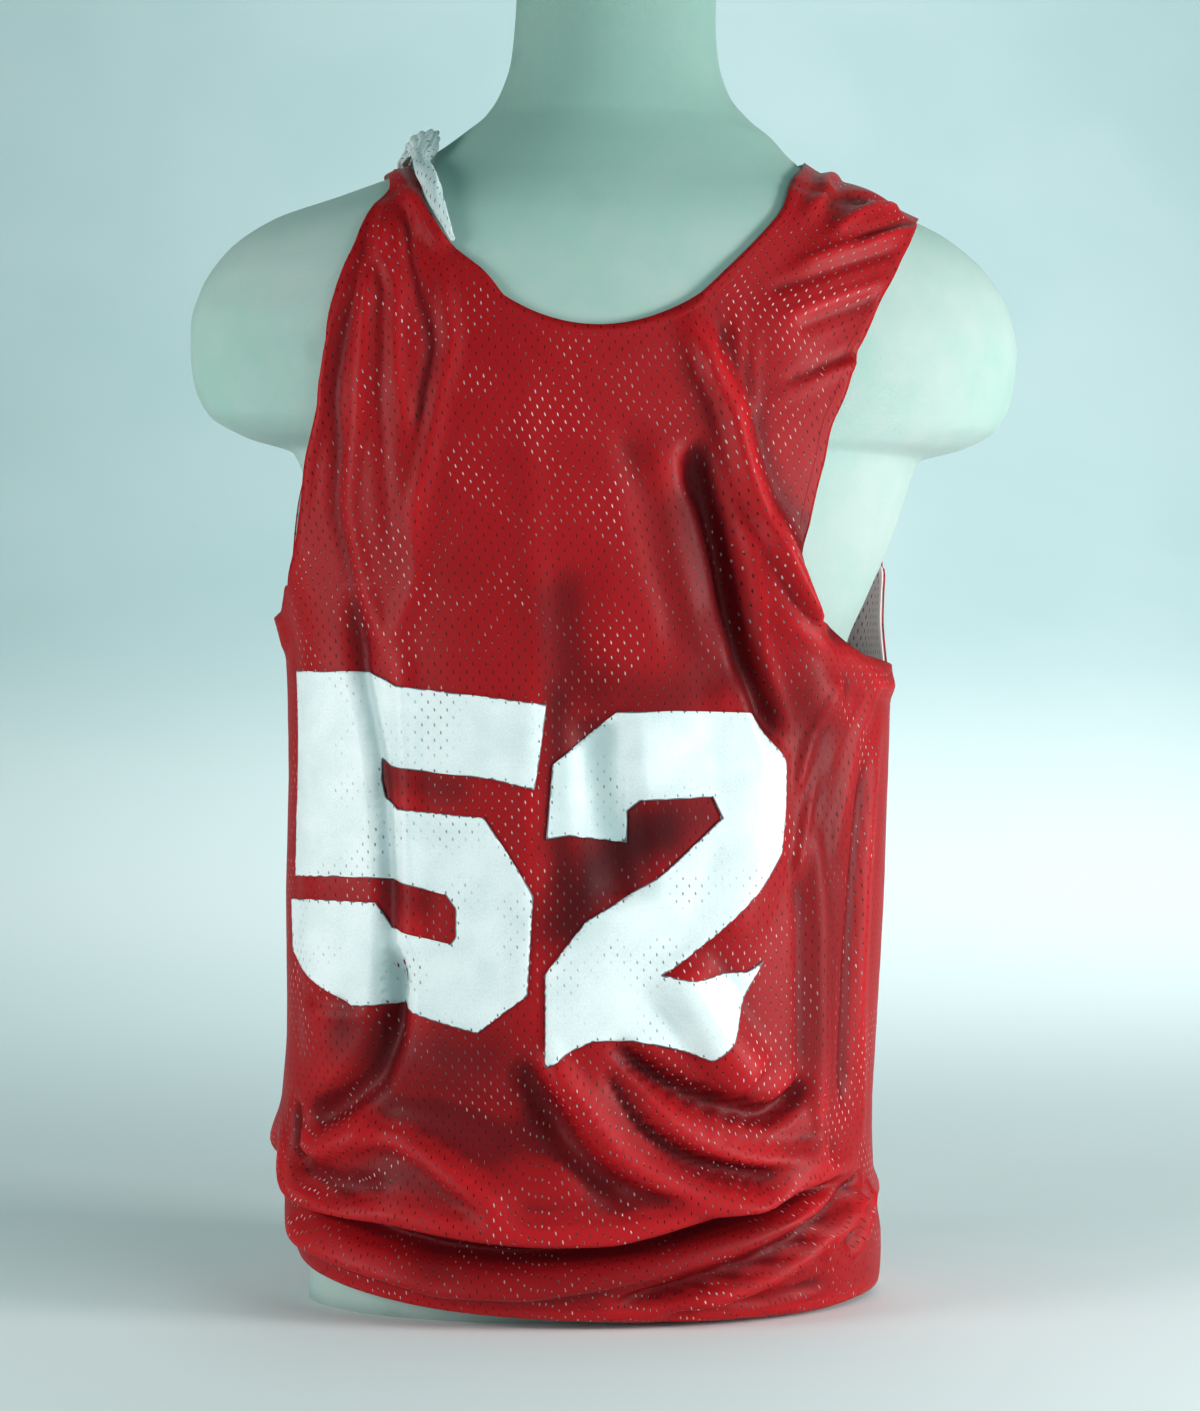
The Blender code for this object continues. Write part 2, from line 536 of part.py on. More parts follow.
def build_strap_roll(name, finish):
    """The lining rolled outwards beside the neck: an open sleeve that swells over the shoulder and tapers."""
    rings = np.array(STRAP_ROLL, float)
    knots = np.arange(len(rings))
    at = np.linspace(0, len(rings) - 1, ROLL_STEPS * (len(rings) - 1) + 1)
    angle = smooth(knots, rings[:, 0], at)
    height, across, out, lift = (smooth(knots, rings[:, k], at)[:, None] * MM for k in range(1, 5))
    height = height[:, 0]
    edge, up = on_ring(angle, height), outward(angle, height)
    along = np.gradient(edge, axis=0)
    side = np.cross(along, up)
    side /= np.linalg.norm(side, axis=1, keepdims=True)
    centre = edge + side * (across + ROLL_GAP) + up * lift
    turn = np.linspace(0, 2 * np.pi, ROLL_SIDES + 1)
    wheel = (side * across)[:, None] * np.cos(turn)[:, None] + (up * out)[:, None] * np.sin(turn)[:, None]
    made = add_object(name, mesh_of_sleeve(name, centre[:, None] + wheel, capped=False), finish)
    wall = made.modifiers.new("Wall", "SOLIDIFY")
    wall.thickness = ROLL_WALL
    wall.offset = -1
    return made


def build_form(name, finish):
    """The dress form: a stack of sections with a flat base and a flat end to its neck."""
    angle = np.linspace(0, 360, FORM_SIDES + 1)
    height = np.array([ring.height for ring in FORM_RINGS]) * MM
    points = on_form(*np.meshgrid(angle, height))
    return add_object(name, mesh_of_sleeve(name, points, capped=True), finish)


def main():
    """Clears the scene and builds every piece."""
    for old in list(bpy.data.objects):
        bpy.data.objects.remove(old, do_unlink=True)
    red = material("red mesh", (0.42, 0.012, 0.018), 0.62)
    white = material("white mesh", (0.72, 0.78, 0.77), 0.66)
    skin = material("form cover", (0.38, 0.56, 0.48), 0.8)
    front_straps, back_straps = (FRONT_LEFT_STRAP, FRONT_RIGHT_STRAP), (BACK_LEFT_STRAP, BACK_RIGHT_STRAP)
    front = panel_layout(FRONT_BODY, FRONT_CHEST, *front_straps, FRONT_COLUMNS, NECK_DIP)
    back = panel_layout(BACK_BODY, BACK_CHEST, *back_straps, BACK_COLUMNS, BACK_NECK_DIP)
    front = panel_points(front, ((88, -1), (90, -1), (-97, 1), (-90, 1)))
    back = panel_points(back, ((88, 1), (90, 1), (263, -1), (270, -1)))
    lining_depth = WALL + LAYER_GAP
    build_form("dress_form", skin)
    build_layer("front_panel", front, 0, WALL, red)
    build_layer("back_panel", back, 0, WALL, red)
    for side, columns in (("right", RIGHT_LINING_COLUMNS), ("left", LEFT_LINING_COLUMNS)):
        build_layer(f"back_lining_{side}", back, lining_depth, LINING_WALL, white, LINING_ROWS, columns)
    build_strap_roll("strap_lining_roll", white)


main()
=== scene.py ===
"""Looks for a reversible mesh basketball jersey hung on a limbless dress form.

Metres, +Z up, the form faces -Y. A point of the cloth is named by an angle round the body, in degrees from the
front towards +X, and a height. The section tables turn that into a place, and the folds push it out or in.
"""

import logging
import math
from dataclasses import astuple, dataclass, field
from enum import Enum
from typing import Any, Callable, ClassVar, Optional, Sequence, Union

import bmesh
import bpy
import numpy as np
from mathutils import Matrix, Vector, kdtree, noise

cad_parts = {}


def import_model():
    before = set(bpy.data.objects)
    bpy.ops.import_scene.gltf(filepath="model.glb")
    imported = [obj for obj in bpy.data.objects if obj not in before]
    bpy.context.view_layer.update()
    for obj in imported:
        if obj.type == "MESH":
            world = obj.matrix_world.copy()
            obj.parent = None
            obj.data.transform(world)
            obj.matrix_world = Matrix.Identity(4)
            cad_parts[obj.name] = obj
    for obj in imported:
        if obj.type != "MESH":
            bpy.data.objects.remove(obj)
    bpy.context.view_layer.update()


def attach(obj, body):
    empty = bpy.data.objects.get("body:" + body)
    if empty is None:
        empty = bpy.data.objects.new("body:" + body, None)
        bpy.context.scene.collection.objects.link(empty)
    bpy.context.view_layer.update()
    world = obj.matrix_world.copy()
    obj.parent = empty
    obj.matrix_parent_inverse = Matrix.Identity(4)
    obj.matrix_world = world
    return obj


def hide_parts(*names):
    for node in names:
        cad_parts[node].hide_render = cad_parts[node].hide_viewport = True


MM = 0.001
WELD = 0.01 * MM
RIPPLES = ((28, 1.0), (75, 0.5))  # how often, for each metre, and how strong
LOG = logging.getLogger("jersey")
Array, Mesh = np.ndarray, bmesh.types.BMesh
Material, Piece, Socket = bpy.types.Material, bpy.types.Object, bpy.types.NodeSocket
Mark = tuple[float, float]
Path = tuple[Mark, ...]
Point = Colour = Cloud = tuple[float, float, float]  # a cloud is soft noise: size in metres, detail and seed


def srgb(red: float, green: float, blue: float) -> Colour:
    """Linear colour of a display colour given as 0 to 255."""
    parts = [value / 255 for value in (red, green, blue)]
    return tuple(p / 12.92 if p <= 0.04045 else ((p + 0.055) / 1.055) ** 2.4 for p in parts)


# ------------------------------------------------------------------ shapes of the form and the cloth
@dataclass(frozen=True)
class Section:
    """One level section of a body in millimetres: how far it reaches each way, and its middle's place across."""

    height: float
    left: float
    right: float
    front: float
    back: float
    middle: float = 0.0


def sections(*rows: Sequence[float]) -> tuple[Section, ...]:
    """Sections from rows of height, left, right, front, back and, where it isn't 0, middle."""
    return tuple(Section(*row) for row in rows)


FORM_SECTIONS = sections(
    (0, 169, 170, 105, 104, -9), (60, 168, 169, 111, 106, -9), (140, 158, 158, 112, 101, -7),
    (220, 146, 146, 107, 93, -5), (300, 140, 140, 106, 88, -3), (360, 141, 141, 110, 90, -2),
    (393, 147, 147, 108, 92, -1), (420, 158, 158, 110, 95), (447, 170, 170, 113, 98), (480, 182, 182, 116, 102),
    (503, 191, 191, 118, 104), (512, 220, 220, 118.5, 105), (524, 241, 241, 119, 106), (545, 250, 250, 119.5, 107),
    (575, 252, 253, 118, 107), (600, 245, 247, 112, 105), (620, 231, 234, 106, 102), (640, 204, 209, 99, 97),
    (655, 165, 174, 92, 91), (670, 128, 133, 84, 83), (685, 104, 110, 77, 74), (697, 88, 98, 72, 66),
    (706, 77, 85, 70, 60), (720, 68, 71, 70, 54), (740, 62, 63, 71, 49), (765, 60, 60, 74, 45), (795, 59, 59, 79, 40),
    (799, 55, 55, 75, 36),
)
CLOTH_SECTIONS = sections(
    (0, 181, 168, 129, 118), (20, 184, 169, 137, 121), (45, 190, 168, 141, 123), (80, 196, 163, 142, 123),
    (110, 196, 162, 141, 121), (160, 193, 164, 140, 117), (240, 194, 168, 139, 114), (320, 193, 170, 139, 113),
    (380, 195, 172, 139, 113), (420, 203, 178, 138, 113), (460, 216, 191, 136, 113), (500, 234, 212, 133, 113),
    (540, 253, 248, 129, 113), (575, 256, 257, 122, 112), (600, 249, 251, 116, 110), (620, 235, 239, 110, 107),
    (640, 208, 215, 103, 102), (655, 169, 182, 96, 96), (670, 132, 142, 88, 88), (685, 108, 116, 81, 79),
    (697, 92, 102, 76, 71), (715, 76, 82, 74, 62),
)


@dataclass(frozen=True)
class Stroke:
    """What happens to the cloth along a path of (angle, height in mm): a fold, or a stroke of painted shade.

    `reach` is how many millimetres to each side it acts. `amount` is how many millimetres a fold's crest stands
    out (in, where negative), or how strongly painted shade darkens the cloth's colour there, from 0 to 1.
    `crisp` is how creased it is, from 0, round, to 1, sharp, and `drop` how many millimetres the crest hangs down.
    """

    name: str
    reach: float
    amount: float
    path: Path
    crisp: float = 0.0
    drop: float = 0.0


def strokes(*rows: Sequence[Any]) -> tuple[Stroke, ...]:
    """Strokes from rows of name, reach, amount, path and, where they aren't 0, crisp and drop."""
    return tuple(Stroke(*row) for row in rows)


FOLDS = strokes(
    ("left strap lift", 32, 4, ((-50, 650), (-42, 638), (-38, 610), (-36, 575), (-37, 530), (-40, 480), (-44, 430))),
    ("strap rope", 11, 5, ((-28, 612), (-30, 621), (-34, 631), (-38, 640), (-46, 650), (-62, 662), (-84, 671)), 0.1),
    ("strap rope behind", 12, 2, ((-82, 671), (-100, 668), (-118, 658), (-134, 645))),
    ("rope's lower ridge", 8, 3, ((-31, 622), (-27, 590), (-26, 562), (-28.7, 528), (-33, 494), (-37.5, 460),
     (-40, 426), (-45, 400), (-48, 384)), 0.05),
    ("arm edge ridge", 6, 2, ((-41, 604), (-42.5, 585), (-45, 562), (-47.5, 528), (-55, 494), (-61, 462))),
    ("pleat one", 7, -2.6, ((-44, 632), (-41, 605), (-40.5, 585), (-42, 562), (-45, 528), (-49, 494), (-53.5, 460),
     (-54, 426), (-55.5, 392), (-55, 350)), 0.3),
    ("pleat ridge one", 7, 2.4, ((-42, 640), (-39, 610), (-38.5, 585), (-39, 562), (-41, 528), (-45.7, 494),
     (-50, 460), (-51, 426), (-49, 392), (-48, 365))),
    ("pleat two", 7, -2.4, ((-52, 651), (-45, 636), (-41, 614), (-36, 585), (-36, 562), (-37.5, 528), (-40, 494),
     (-42.5, 460), (-46, 426)), 0.3),
    ("pleat ridge two", 6, 2, ((-42, 636), (-38, 614), (-33.5, 585), (-34, 562), (-34, 528), (-36, 500))),
    ("pleat three", 6, -2.6, ((-44, 645), (-37, 632), (-34, 614), (-31, 590), (-28.8, 562), (-31, 528),
     (-35, 498)), 0.3),
    ("left crease", 11, -6, ((-55, 420), (-55, 384), (-51, 324), (-49, 280), (-48, 244), (-48, 196),
     (-49, 150)), 0.2),
    ("left crease ridge", 11, 3, ((-46, 400), (-45, 360), (-44, 300), (-43, 240), (-43, 190)), 0.1),
    ("left side swell", 28, 4, ((-66, 500), (-68, 420), (-68, 340), (-68, 260), (-68, 180), (-66, 132))),
    ("middle ridge", 12, 1.5, ((-15.5, 560), (-17.5, 506), (-18.5, 460), (-19.5, 416), (-20.5, 358), (-21.5, 302),
     (-21.5, 246), (-21.5, 190), (-22, 150)), 0.1),
    ("middle valley", 24, -3.5, ((-12.5, 450), (-13.5, 420), (-13.5, 390), (-13, 350), (-13, 310), (-13.5, 269),
     (-15, 230))),
    ("numeral valley", 24, -9, ((-9, 360), (-8, 325), (-7, 295), (-5.5, 265), (-4, 238))),
    ("numeral ridge", 28, 7, ((10, 415), (16, 380), (20, 345), (22, 310), (22, 275), (18, 240), (14, 200)), 0.1),
    ("chest valley", 14, -17, ((6, 512), (7.5, 492), (10.5, 470), (14, 440), (16.5, 412), (18.5, 388), (21, 368),
     (24, 348), (27, 326)), 0.2),
    ("chest valley slope", 26, -6, ((2, 500), (6, 468), (10, 438), (12.5, 410), (14.5, 384), (17, 360))),
    ("chest ridge", 12, 13, ((4, 590), (8, 552), (12, 520), (16, 488), (21, 460), (26.5, 436), (32, 415),
     (39, 394)), 0.1, 6),
    ("underarm slope", 26, 8, ((18, 470), (24, 432), (30, 400), (36, 370), (40, 340))),
    ("second chest valley", 14, -3, ((-4, 520), (-2, 484), (0, 450), (3, 416), (6, 380))),
    ("soft chest ridge", 14, 1.5, ((1, 510), (5, 460), (9, 415), (13, 375))),
    ("right strap lift", 30, 4, ((88, 670), (62, 660), (44, 642), (30, 614), (20, 580), (14, 545))),
    ("underarm roll", 11, 4, ((22, 412), (30, 399), (40, 387), (50, 379), (66, 367), (86, 368)), 0.2),
    ("gather one", 7, 3, ((60, 372), (55, 352), (50, 334), (47, 308), (44, 284), (42, 256)), 0.1),
    ("gather two", 7, 4, ((50, 370), (44, 348), (40, 324), (36, 302), (33, 272), (30, 244)), 0.1),
    ("gather three", 7, 3.5, ((43, 374), (38, 354), (34, 330), (31, 302)), 0.1),
    ("gather shade", 6, -4, ((47, 368), (43, 342), (39, 320), (36, 294), (33, 266)), 0.4),
    ("side valley", 12, -6, ((57, 336), (54, 290), (52, 250), (51, 200), (51, 150), (52, 108)), 0.2),
    ("side ridge", 10, 3.5, ((33, 305), (37, 268), (39.5, 230), (40.5, 190), (41.5, 148), (41.5, 110),
     (40, 80)), 0.1),
    ("side ridge shade", 9, -2.5, ((29, 275), (33, 240), (34, 196), (35, 150), (36, 108))),
    ("outer side ridge", 10, 2, ((64, 360), (59, 300), (57, 242), (58, 182), (61, 122), (60, 88))),
    ("left loop", 15, 3, ((-104, 412), (-92, 402), (-86, 386))),
    ("lower left hollow", 36, -9, ((-56, 126), (-40, 116), (-26, 112), (-10, 118))),
    ("left swag valley", 16, -14, ((-46, 222), (-47, 198), (-48, 172), (-51, 150), (-57, 132), (-66, 118),
     (-74, 108)), 0.3),
    ("left swag ridge", 12, 9, ((-78, 106), (-67, 102), (-57, 107), (-48, 111), (-40, 103), (-33, 90), (-27, 76),
     (-20, 64)), 0.05, 4),
    ("swag bulge", 24, 10, ((4, 214), (9, 192), (14, 170), (19, 152), (23, 140)), 0, 4),
    ("swag shadow", 10, -15, ((-8, 170), (-2, 153), (4, 141), (12, 131), (19, 125), (26, 121), (33, 128),
     (37, 142)), 0.3),
    ("swag ridge", 12, 10, ((-20, 170), (-15, 147), (-10, 125), (-5, 104), (1, 91), (10, 83), (21, 82),
     (33, 86)), 0.05, 5),
    ("swag valley", 8, -7, ((-9, 160), (-4, 130), (2, 111), (10, 97), (20, 90), (31, 85)), 0.3),
    ("upper swag ridge", 10, 8, ((-3, 136), (5, 119), (13, 107), (24, 99), (34, 97), (46, 98)), 0.1, 4),
    ("swag foot", 14, -9, ((-24, 160), (-19, 136), (-14, 110), (-9, 90), (-2, 74))),
    ("trough above roll", 9, -11, ((-79, 127), (-77, 112), (-75, 97), (-72, 86), (-66, 80), (-56, 79),
     (-44, 80)), 0.3),
    ("main roll", 12, 10, ((-93, 112), (-86, 100), (-80, 85), (-74, 76), (-66, 72), (-58, 71), (-48, 70), (-38, 66),
     (-28, 62), (-18, 60), (-8, 60), (0, 65), (10, 73), (24, 81), (38, 86), (50, 86), (62, 78)), 0, 6),
    ("valley under roll", 10, -16, ((-86, 70), (-76, 65), (-66, 60), (-58, 56), (-48, 51), (-36, 46), (-26, 44),
     (-15, 46), (-7, 49), (0, 53), (10, 60), (21, 67), (32, 73), (44, 78), (56, 81)), 0.3),
    ("second roll", 11, 9, ((-100, 56), (-86, 50), (-75, 45), (-60, 39), (-46, 32), (-36, 27), (-24, 27), (-14, 31),
     (-2, 38), (10, 46), (20, 53), (30, 62), (40, 70), (52, 77)), 0, 3),
    ("valley under second roll", 8, -13, ((-8, 14), (-2, 18), (6, 24), (14, 30), (23, 37), (33, 47), (40, 56),
     (47, 64), (55, 72), (62, 80)), 0.4),
    ("third roll", 9, 9, ((2, 12), (14, 20), (24, 28), (34, 39), (42, 50), (51, 60), (59, 68)), 0.2, 2),
    ("hem slit", 6, -6, ((1, 5), (10, 10), (19, 13), (26, 15), (32, 17), (38, 20), (46, 26)), 0.5),
    ("corner fold one", 6, 6, ((62, 80), (53, 62), (46, 48), (41, 36)), 0.1),
    ("corner fold two", 7, 6, ((67, 72), (58, 48), (51, 32)), 0.1),
    ("corner shade", 6, -7, ((62, 72), (55, 52), (49, 38)), 0.3),
    ("back roll", 17, 8, ((78, 68), (92, 64), (112, 64), (140, 62), (180, 58), (215, 66), (245, 84), (262, 100),
     (274, 112)), 0, 5),
    ("valley under back roll", 11, -8, ((70, 56), (92, 46), (120, 46), (150, 44), (180, 42), (215, 50), (245, 64),
     (268, 70))),
    ("second back roll", 12, 5, ((84, 34), (120, 32), (160, 28), (200, 32), (240, 46), (264, 56)), 0, 2),
    ("back drape left", 26, 4, ((214, 585), (211, 500), (207, 400), (204, 300), (207, 210), (212, 140))),
    ("back drape middle", 24, -3, ((199, 560), (196, 470), (190, 380), (187, 300), (190, 230))),
    ("back drape right", 24, 5, ((146, 590), (152, 520), (161, 430), (166, 330), (168, 240), (166, 170))),
    ("back side drape", 18, 6, ((120, 430), (124, 340), (126, 250), (126, 150))),
    ("back left side drape", 18, 5, ((236, 430), (236, 340), (238, 240), (238, 150))),
    ("back swag", 18, 5, ((124, 150), (146, 122), (172, 112), (194, 124), (212, 150)), 0, 3),
    ("back swag trough", 16, -3.5, ((132, 176), (152, 148), (174, 138), (192, 148))),
    ("right pinch one", 4, 2.4, ((12, 592), (12, 564), (12, 542), (14, 520)), 0.6),
    ("right pinch shade", 5, -2.2, ((10, 576), (9, 552), (11, 530)), 0.4),
    ("right pinch two", 4, 2.0, ((14, 574), (14, 548), (15, 518)), 0.6),
    ("under numeral wave", 6, 1.8, ((-72, 177), (-59, 175), (-49, 181)), 0.5),
    ("under numeral shade", 6, -1.8, ((-79, 190), (-66, 184), (-57, 184)), 0.4),
    ("laundry crease", 3, 0.9, ((-78, 252), (-62, 250), (-50, 246)), 0.5),
    ("laundry crease two", 3, 0.7, ((-46, 293), (-34, 292), (-24, 290), (-14, 292)), 0.5),
    ("strap wave one", 6, 3.4, ((20, 608), (26, 616), (34, 625), (48, 636), (60, 645)), 0.3),
    ("strap trough one", 5, -3.6, ((16, 594), (20, 599), (28, 609), (35, 617), (42, 624)), 0.3),
    ("strap wave two", 6, 2.6, ((17, 576), (22, 584), (28, 593), (33, 600), (37, 607)), 0.3),
    ("strap trough two", 5, -3.0, ((19, 570), (24, 580), (29, 587), (34, 594)), 0.3),
    ("strap edge pleat", 5, 3.0, ((16, 530), (22, 541), (26, 549), (31, 555)), 0.5),
    ("strap edge pleat shade", 4, -3.0, ((18, 540), (22, 547), (26, 555), (30, 563)), 0.4),
    ("shoulder ridge one", 7, 4.0, ((26, 640), (34, 650), (44, 660), (56, 668), (72, 672), (86, 672))),
    ("shoulder dip one", 5, -4.5, ((32, 645), (40, 653), (50, 656), (60, 655), (70, 654)), 0.3),
    ("shoulder dip two", 5, -4.0, ((36, 664), (39, 659), (43, 654), (47, 650)), 0.3),
    ("shoulder ridge two", 6, 4.0, ((28, 628), (38, 642), (48, 648), (60, 650))),
    ("shoulder dip three", 5, -4.5, ((30, 624), (40, 634), (48, 640), (58, 644)), 0.3),
)
# Strokes of painted shade: each darkens the cloth's colour along its path, standing in for shadow.
PAINTED_SHADES = strokes(
    ("beside the chest valley", 16, 0.78, ((5, 507), (7.5, 473), (11, 439), (14, 410), (16.5, 385), (19.5, 359),
     (22.5, 333), (26.5, 306))),
    ("slope of the chest valley", 32, 0.5, ((2.5, 489), (5.5, 450), (8.5, 410), (11, 379), (13, 350))),
    ("above the numerals", 26, 0.5, ((-16, 438), (-16, 404), (-14.5, 376), (-7.5, 363), (1.5, 359), (12.5, 359))),
    ("hook of the two", 30, 0.92, ((10, 292), (2, 284), (-3, 276), (-8, 266), (-11, 250), (-14, 232), (-16, 205))),
    ("top of the hook", 24, 0.6, ((14, 296), (9.5, 294), (1.5, 291), (-4.5, 286), (-10, 276))),
    ("between the numerals", 13, 0.75, ((-16.5, 380), (-16, 350), (-16, 320), (-16, 290), (-15, 262), (-15, 235))),
    ("line on the two", 7, 0.4, ((-12.5, 362), (-12.5, 335), (-12, 302), (-11, 274), (-10, 240))),
    ("lower left", 36, 0.6, ((-66, 172), (-56, 166), (-45.5, 155), (-33, 152), (-18, 156))),
    ("inside the five", 15, 0.5, ((-52, 316), (-47, 315), (-40, 310), (-30, 306))),
    ("foot of the five", 15, 0.5, ((-49, 272), (-48, 258), (-44, 246), (-36, 242))),
    ("right side", 34, 0.5, ((28, 400), (35, 345), (40, 300), (41, 240), (40, 180), (40, 110))),
    ("under the main roll", 20, 0.5, ((-54, 46), (-40, 39), (-26, 36), (-12, 38), (0, 46), (12, 55), (24, 64),
     (38, 74))),
    ("upper chest", 30, 0.25, ((-6, 500), (4, 500), (12, 505))),
)


def smooth(xs: Sequence[float], ys: Sequence[float], at: Array) -> Array:
    """The smooth curve through points that never overshoots them.

    Args:
        xs: Places of the points, rising.
        ys: Their values.
        at: Where to read the curve.

    Returns:
        The curve's values.
    """
    xs, ys, at = np.asarray(xs, float), np.asarray(ys, float), np.asarray(at, float)
    step = np.diff(xs)
    slope = np.diff(ys) / step
    tangent = np.concatenate([slope[:1], np.zeros(len(xs) - 2), slope[-1:]])
    for i in range(1, len(xs) - 1):
        if slope[i - 1] * slope[i] > 0:
            before, after = 2 * step[i] + step[i - 1], step[i] + 2 * step[i - 1]
            tangent[i] = (before + after) / (before / slope[i - 1] + after / slope[i])
    at = np.clip(at, xs[0], xs[-1])
    i = np.clip(np.searchsorted(xs, at) - 1, 0, len(xs) - 2)
    t = (at - xs[i]) / step[i]
    return ((1 + 2 * t) * (1 - t) ** 2 * ys[i] + t * (1 - t) ** 2 * step[i] * tangent[i]
            + t * t * (3 - 2 * t) * ys[i + 1] + t * t * (t - 1) * step[i] * tangent[i + 1])


def run_along(points: Array) -> Array:
    """Metres run along a line of points, or along each row of them, from 0 at its start."""
    steps = np.linalg.norm(np.diff(points, axis=-2), axis=-1)
    return np.concatenate([np.zeros((*steps.shape[:-1], 1)), np.cumsum(steps, axis=-1)], -1)


def ripple(points: Array) -> Array:
    """How strongly a small random wave of the cloth stands out at each of a list of points."""
    return np.abs([sum(strong * noise.noise(Vector(point) * often) for often, strong in RIPPLES) for point in points])


class Stack:
    """A closed body through a stack of level sections."""

    SMALL_TURN = 0.5
    SMALL_RISE = 1.5 * MM

    def __init__(self, body: Sequence[Section]) -> None:
        """Keeps the sections as columns."""
        self.columns = np.array([astuple(section) for section in body], float).T

    def place(self, angle: Array, height: Array) -> Array:
        """Points on the body.

        Args:
            angle: Degrees from the front towards +X.
            height: Metres.

        Returns:
            Points, in the last axis.
        """
        turn = np.radians(angle)
        left, right, front, back, middle = (smooth(self.columns[0], column, height / MM) * MM
                                            for column in self.columns[1:])
        side = np.where(np.sin(turn) < 0, left, right)
        depth, centre = (front + back) / 2, (back - front) / 2
        return np.stack([middle + side * np.sin(turn), centre - depth * np.cos(turn), height + 0 * turn], -1)

    def outward(self, angle: Array, height: Array) -> Array:
        """Unit normals of the body, for the same angles and heights as place takes."""
        across = self.place(angle + self.SMALL_TURN, height) - self.place(angle - self.SMALL_TURN, height)
        up = self.place(angle, height + self.SMALL_RISE) - self.place(angle, height - self.SMALL_RISE)
        normal = np.cross(across, up)
        return normal / np.linalg.norm(normal, axis=-1, keepdims=True)


class Drape:
    """The jersey's cloth as it hangs on the form: smooth sections with folds, and strokes of painted shade."""

    CLEARANCE = 2.2 * MM
    STEP, FEWEST = 1.5 * MM, 12
    FADE = 0.16
    DROP_SHARE, HEM_FLOOR = 0.6, 4 * MM
    AT_ONCE = 2_000_000

    def __init__(self, form: Stack, cloth: Stack) -> None:
        """Works out every stroke's line on the smooth cloth once."""
        self.form, self.cloth = form, cloth
        self.folds, self.painted_shades = ([(stroke, *self.line(stroke)) for stroke in table] for table in (FOLDS, PAINTED_SHADES))

    def line(self, stroke: Stroke) -> tuple[Array, Array]:
        """A stroke's line on the smooth cloth.

        Args:
            stroke: The stroke.

        Returns:
            The line's points, and how strong the stroke is at each, fading at both ends.
        """
        angle, height = np.array(stroke.path, float).T
        knots = np.arange(len(angle))
        length = run_along(self.cloth.place(angle, height * MM))[-1]
        at = np.linspace(0, knots[-1], max(self.FEWEST, int(length / self.STEP)))
        share = at / at[-1]
        end = np.clip(np.minimum(share, 1 - share) / self.FADE, 0, 1)
        points = self.cloth.place(smooth(knots, angle, at), smooth(knots, height, at) * MM)
        return points, end * end * (3 - 2 * end)

    def share(self, stroke: Stroke, points: Array, strength: Array, place: Array) -> Array:
        """How much of a stroke each place has, by its distance from the stroke's line.

        Args:
            stroke: The stroke.
            points: The points of its line.
            strength: How strong it is at each.
            place: The places, one a row.

        Returns:
            A share for each place, 0 to 1.
        """
        reach, amount = stroke.reach * MM, np.zeros(len(place))
        low, high = points.min(0) - reach, points.max(0) + reach
        near = np.flatnonzero(((place > low) & (place < high)).all(-1))
        for part in np.array_split(near, max(1, len(near) * len(points) // self.AT_ONCE)):
            gap = np.linalg.norm(place[part, None] - points, axis=-1)
            close = np.clip(gap.min(-1) / reach, 0, 1)
            form = (1 - stroke.crisp) * (1 - close**2) ** 2 + stroke.crisp * (1 - close) ** 2
            amount[part] = form * strength[gap.argmin(-1)]
        return amount

    def shade(self, angle: Array, height: Array) -> Array:
        """How strongly painted shade darkens the cloth's colour.

        Args:
            angle: Degrees round the body.
            height: Metres.

        Returns:
            Painted shade at each place, 0 to 1.
        """
        place = self.cloth.place(np.ravel(angle), np.ravel(height))
        light = np.ones(len(place))
        for stroke, points, strength in self.painted_shades:
            light *= 1 - stroke.amount * self.share(stroke, points, strength, place)
        return (1 - light).reshape(np.shape(angle))

    def place(self, angle: Array, height: Array, tuck: Union[float, Array] = 0.0,
              lift: float = 0.0) -> Array:
        """Points of the draped cloth's outside.

        Args:
            angle: Degrees round the body.
            height: Metres.
            tuck: How far the point goes from the cloth's section towards the form, 0 to 1.
            lift: Metres added along the smooth cloth's normal.

        Returns:
            Points, in the last axis.
        """
        shape = np.shape(angle)
        angle, height = np.ravel(angle), np.ravel(height)
        place, normal = self.cloth.place(angle, height), self.cloth.outward(angle, height)
        room = ((place - self.form.place(angle, height)) * normal).sum(-1) - self.CLEARANCE
        push, drop = np.zeros(len(angle)), np.zeros(len(angle))
        for fold, points, strength in self.folds:
            amount = self.share(fold, points, strength, place)
            push += fold.amount * MM * amount
            drop += fold.drop * MM * amount
        push = np.maximum(push, -room) + lift
        place = place + normal * push[:, None]
        place[:, 2] -= np.minimum(drop, self.DROP_SHARE * np.maximum(place[:, 2] - self.HEM_FLOOR, 0))
        tuck = np.ravel(tuck)[:, None]
        inside = self.form.place(angle, np.maximum(height, 0))
        place = place * (1 - tuck) + (inside * [1, 1, 0] + place * [0, 0, 1]) * tuck
        return place.reshape(*shape, 3)


# ------------------------------------------------------------------ cut of the panels
@dataclass(frozen=True)
class Level:
    """A level of a panel: rows of cells that lead up to it, its marks' angles and heights in mm, and its tuck."""

    rows: int
    angles: Sequence[float]
    heights: Sequence[float]
    tuck: float = 0.0


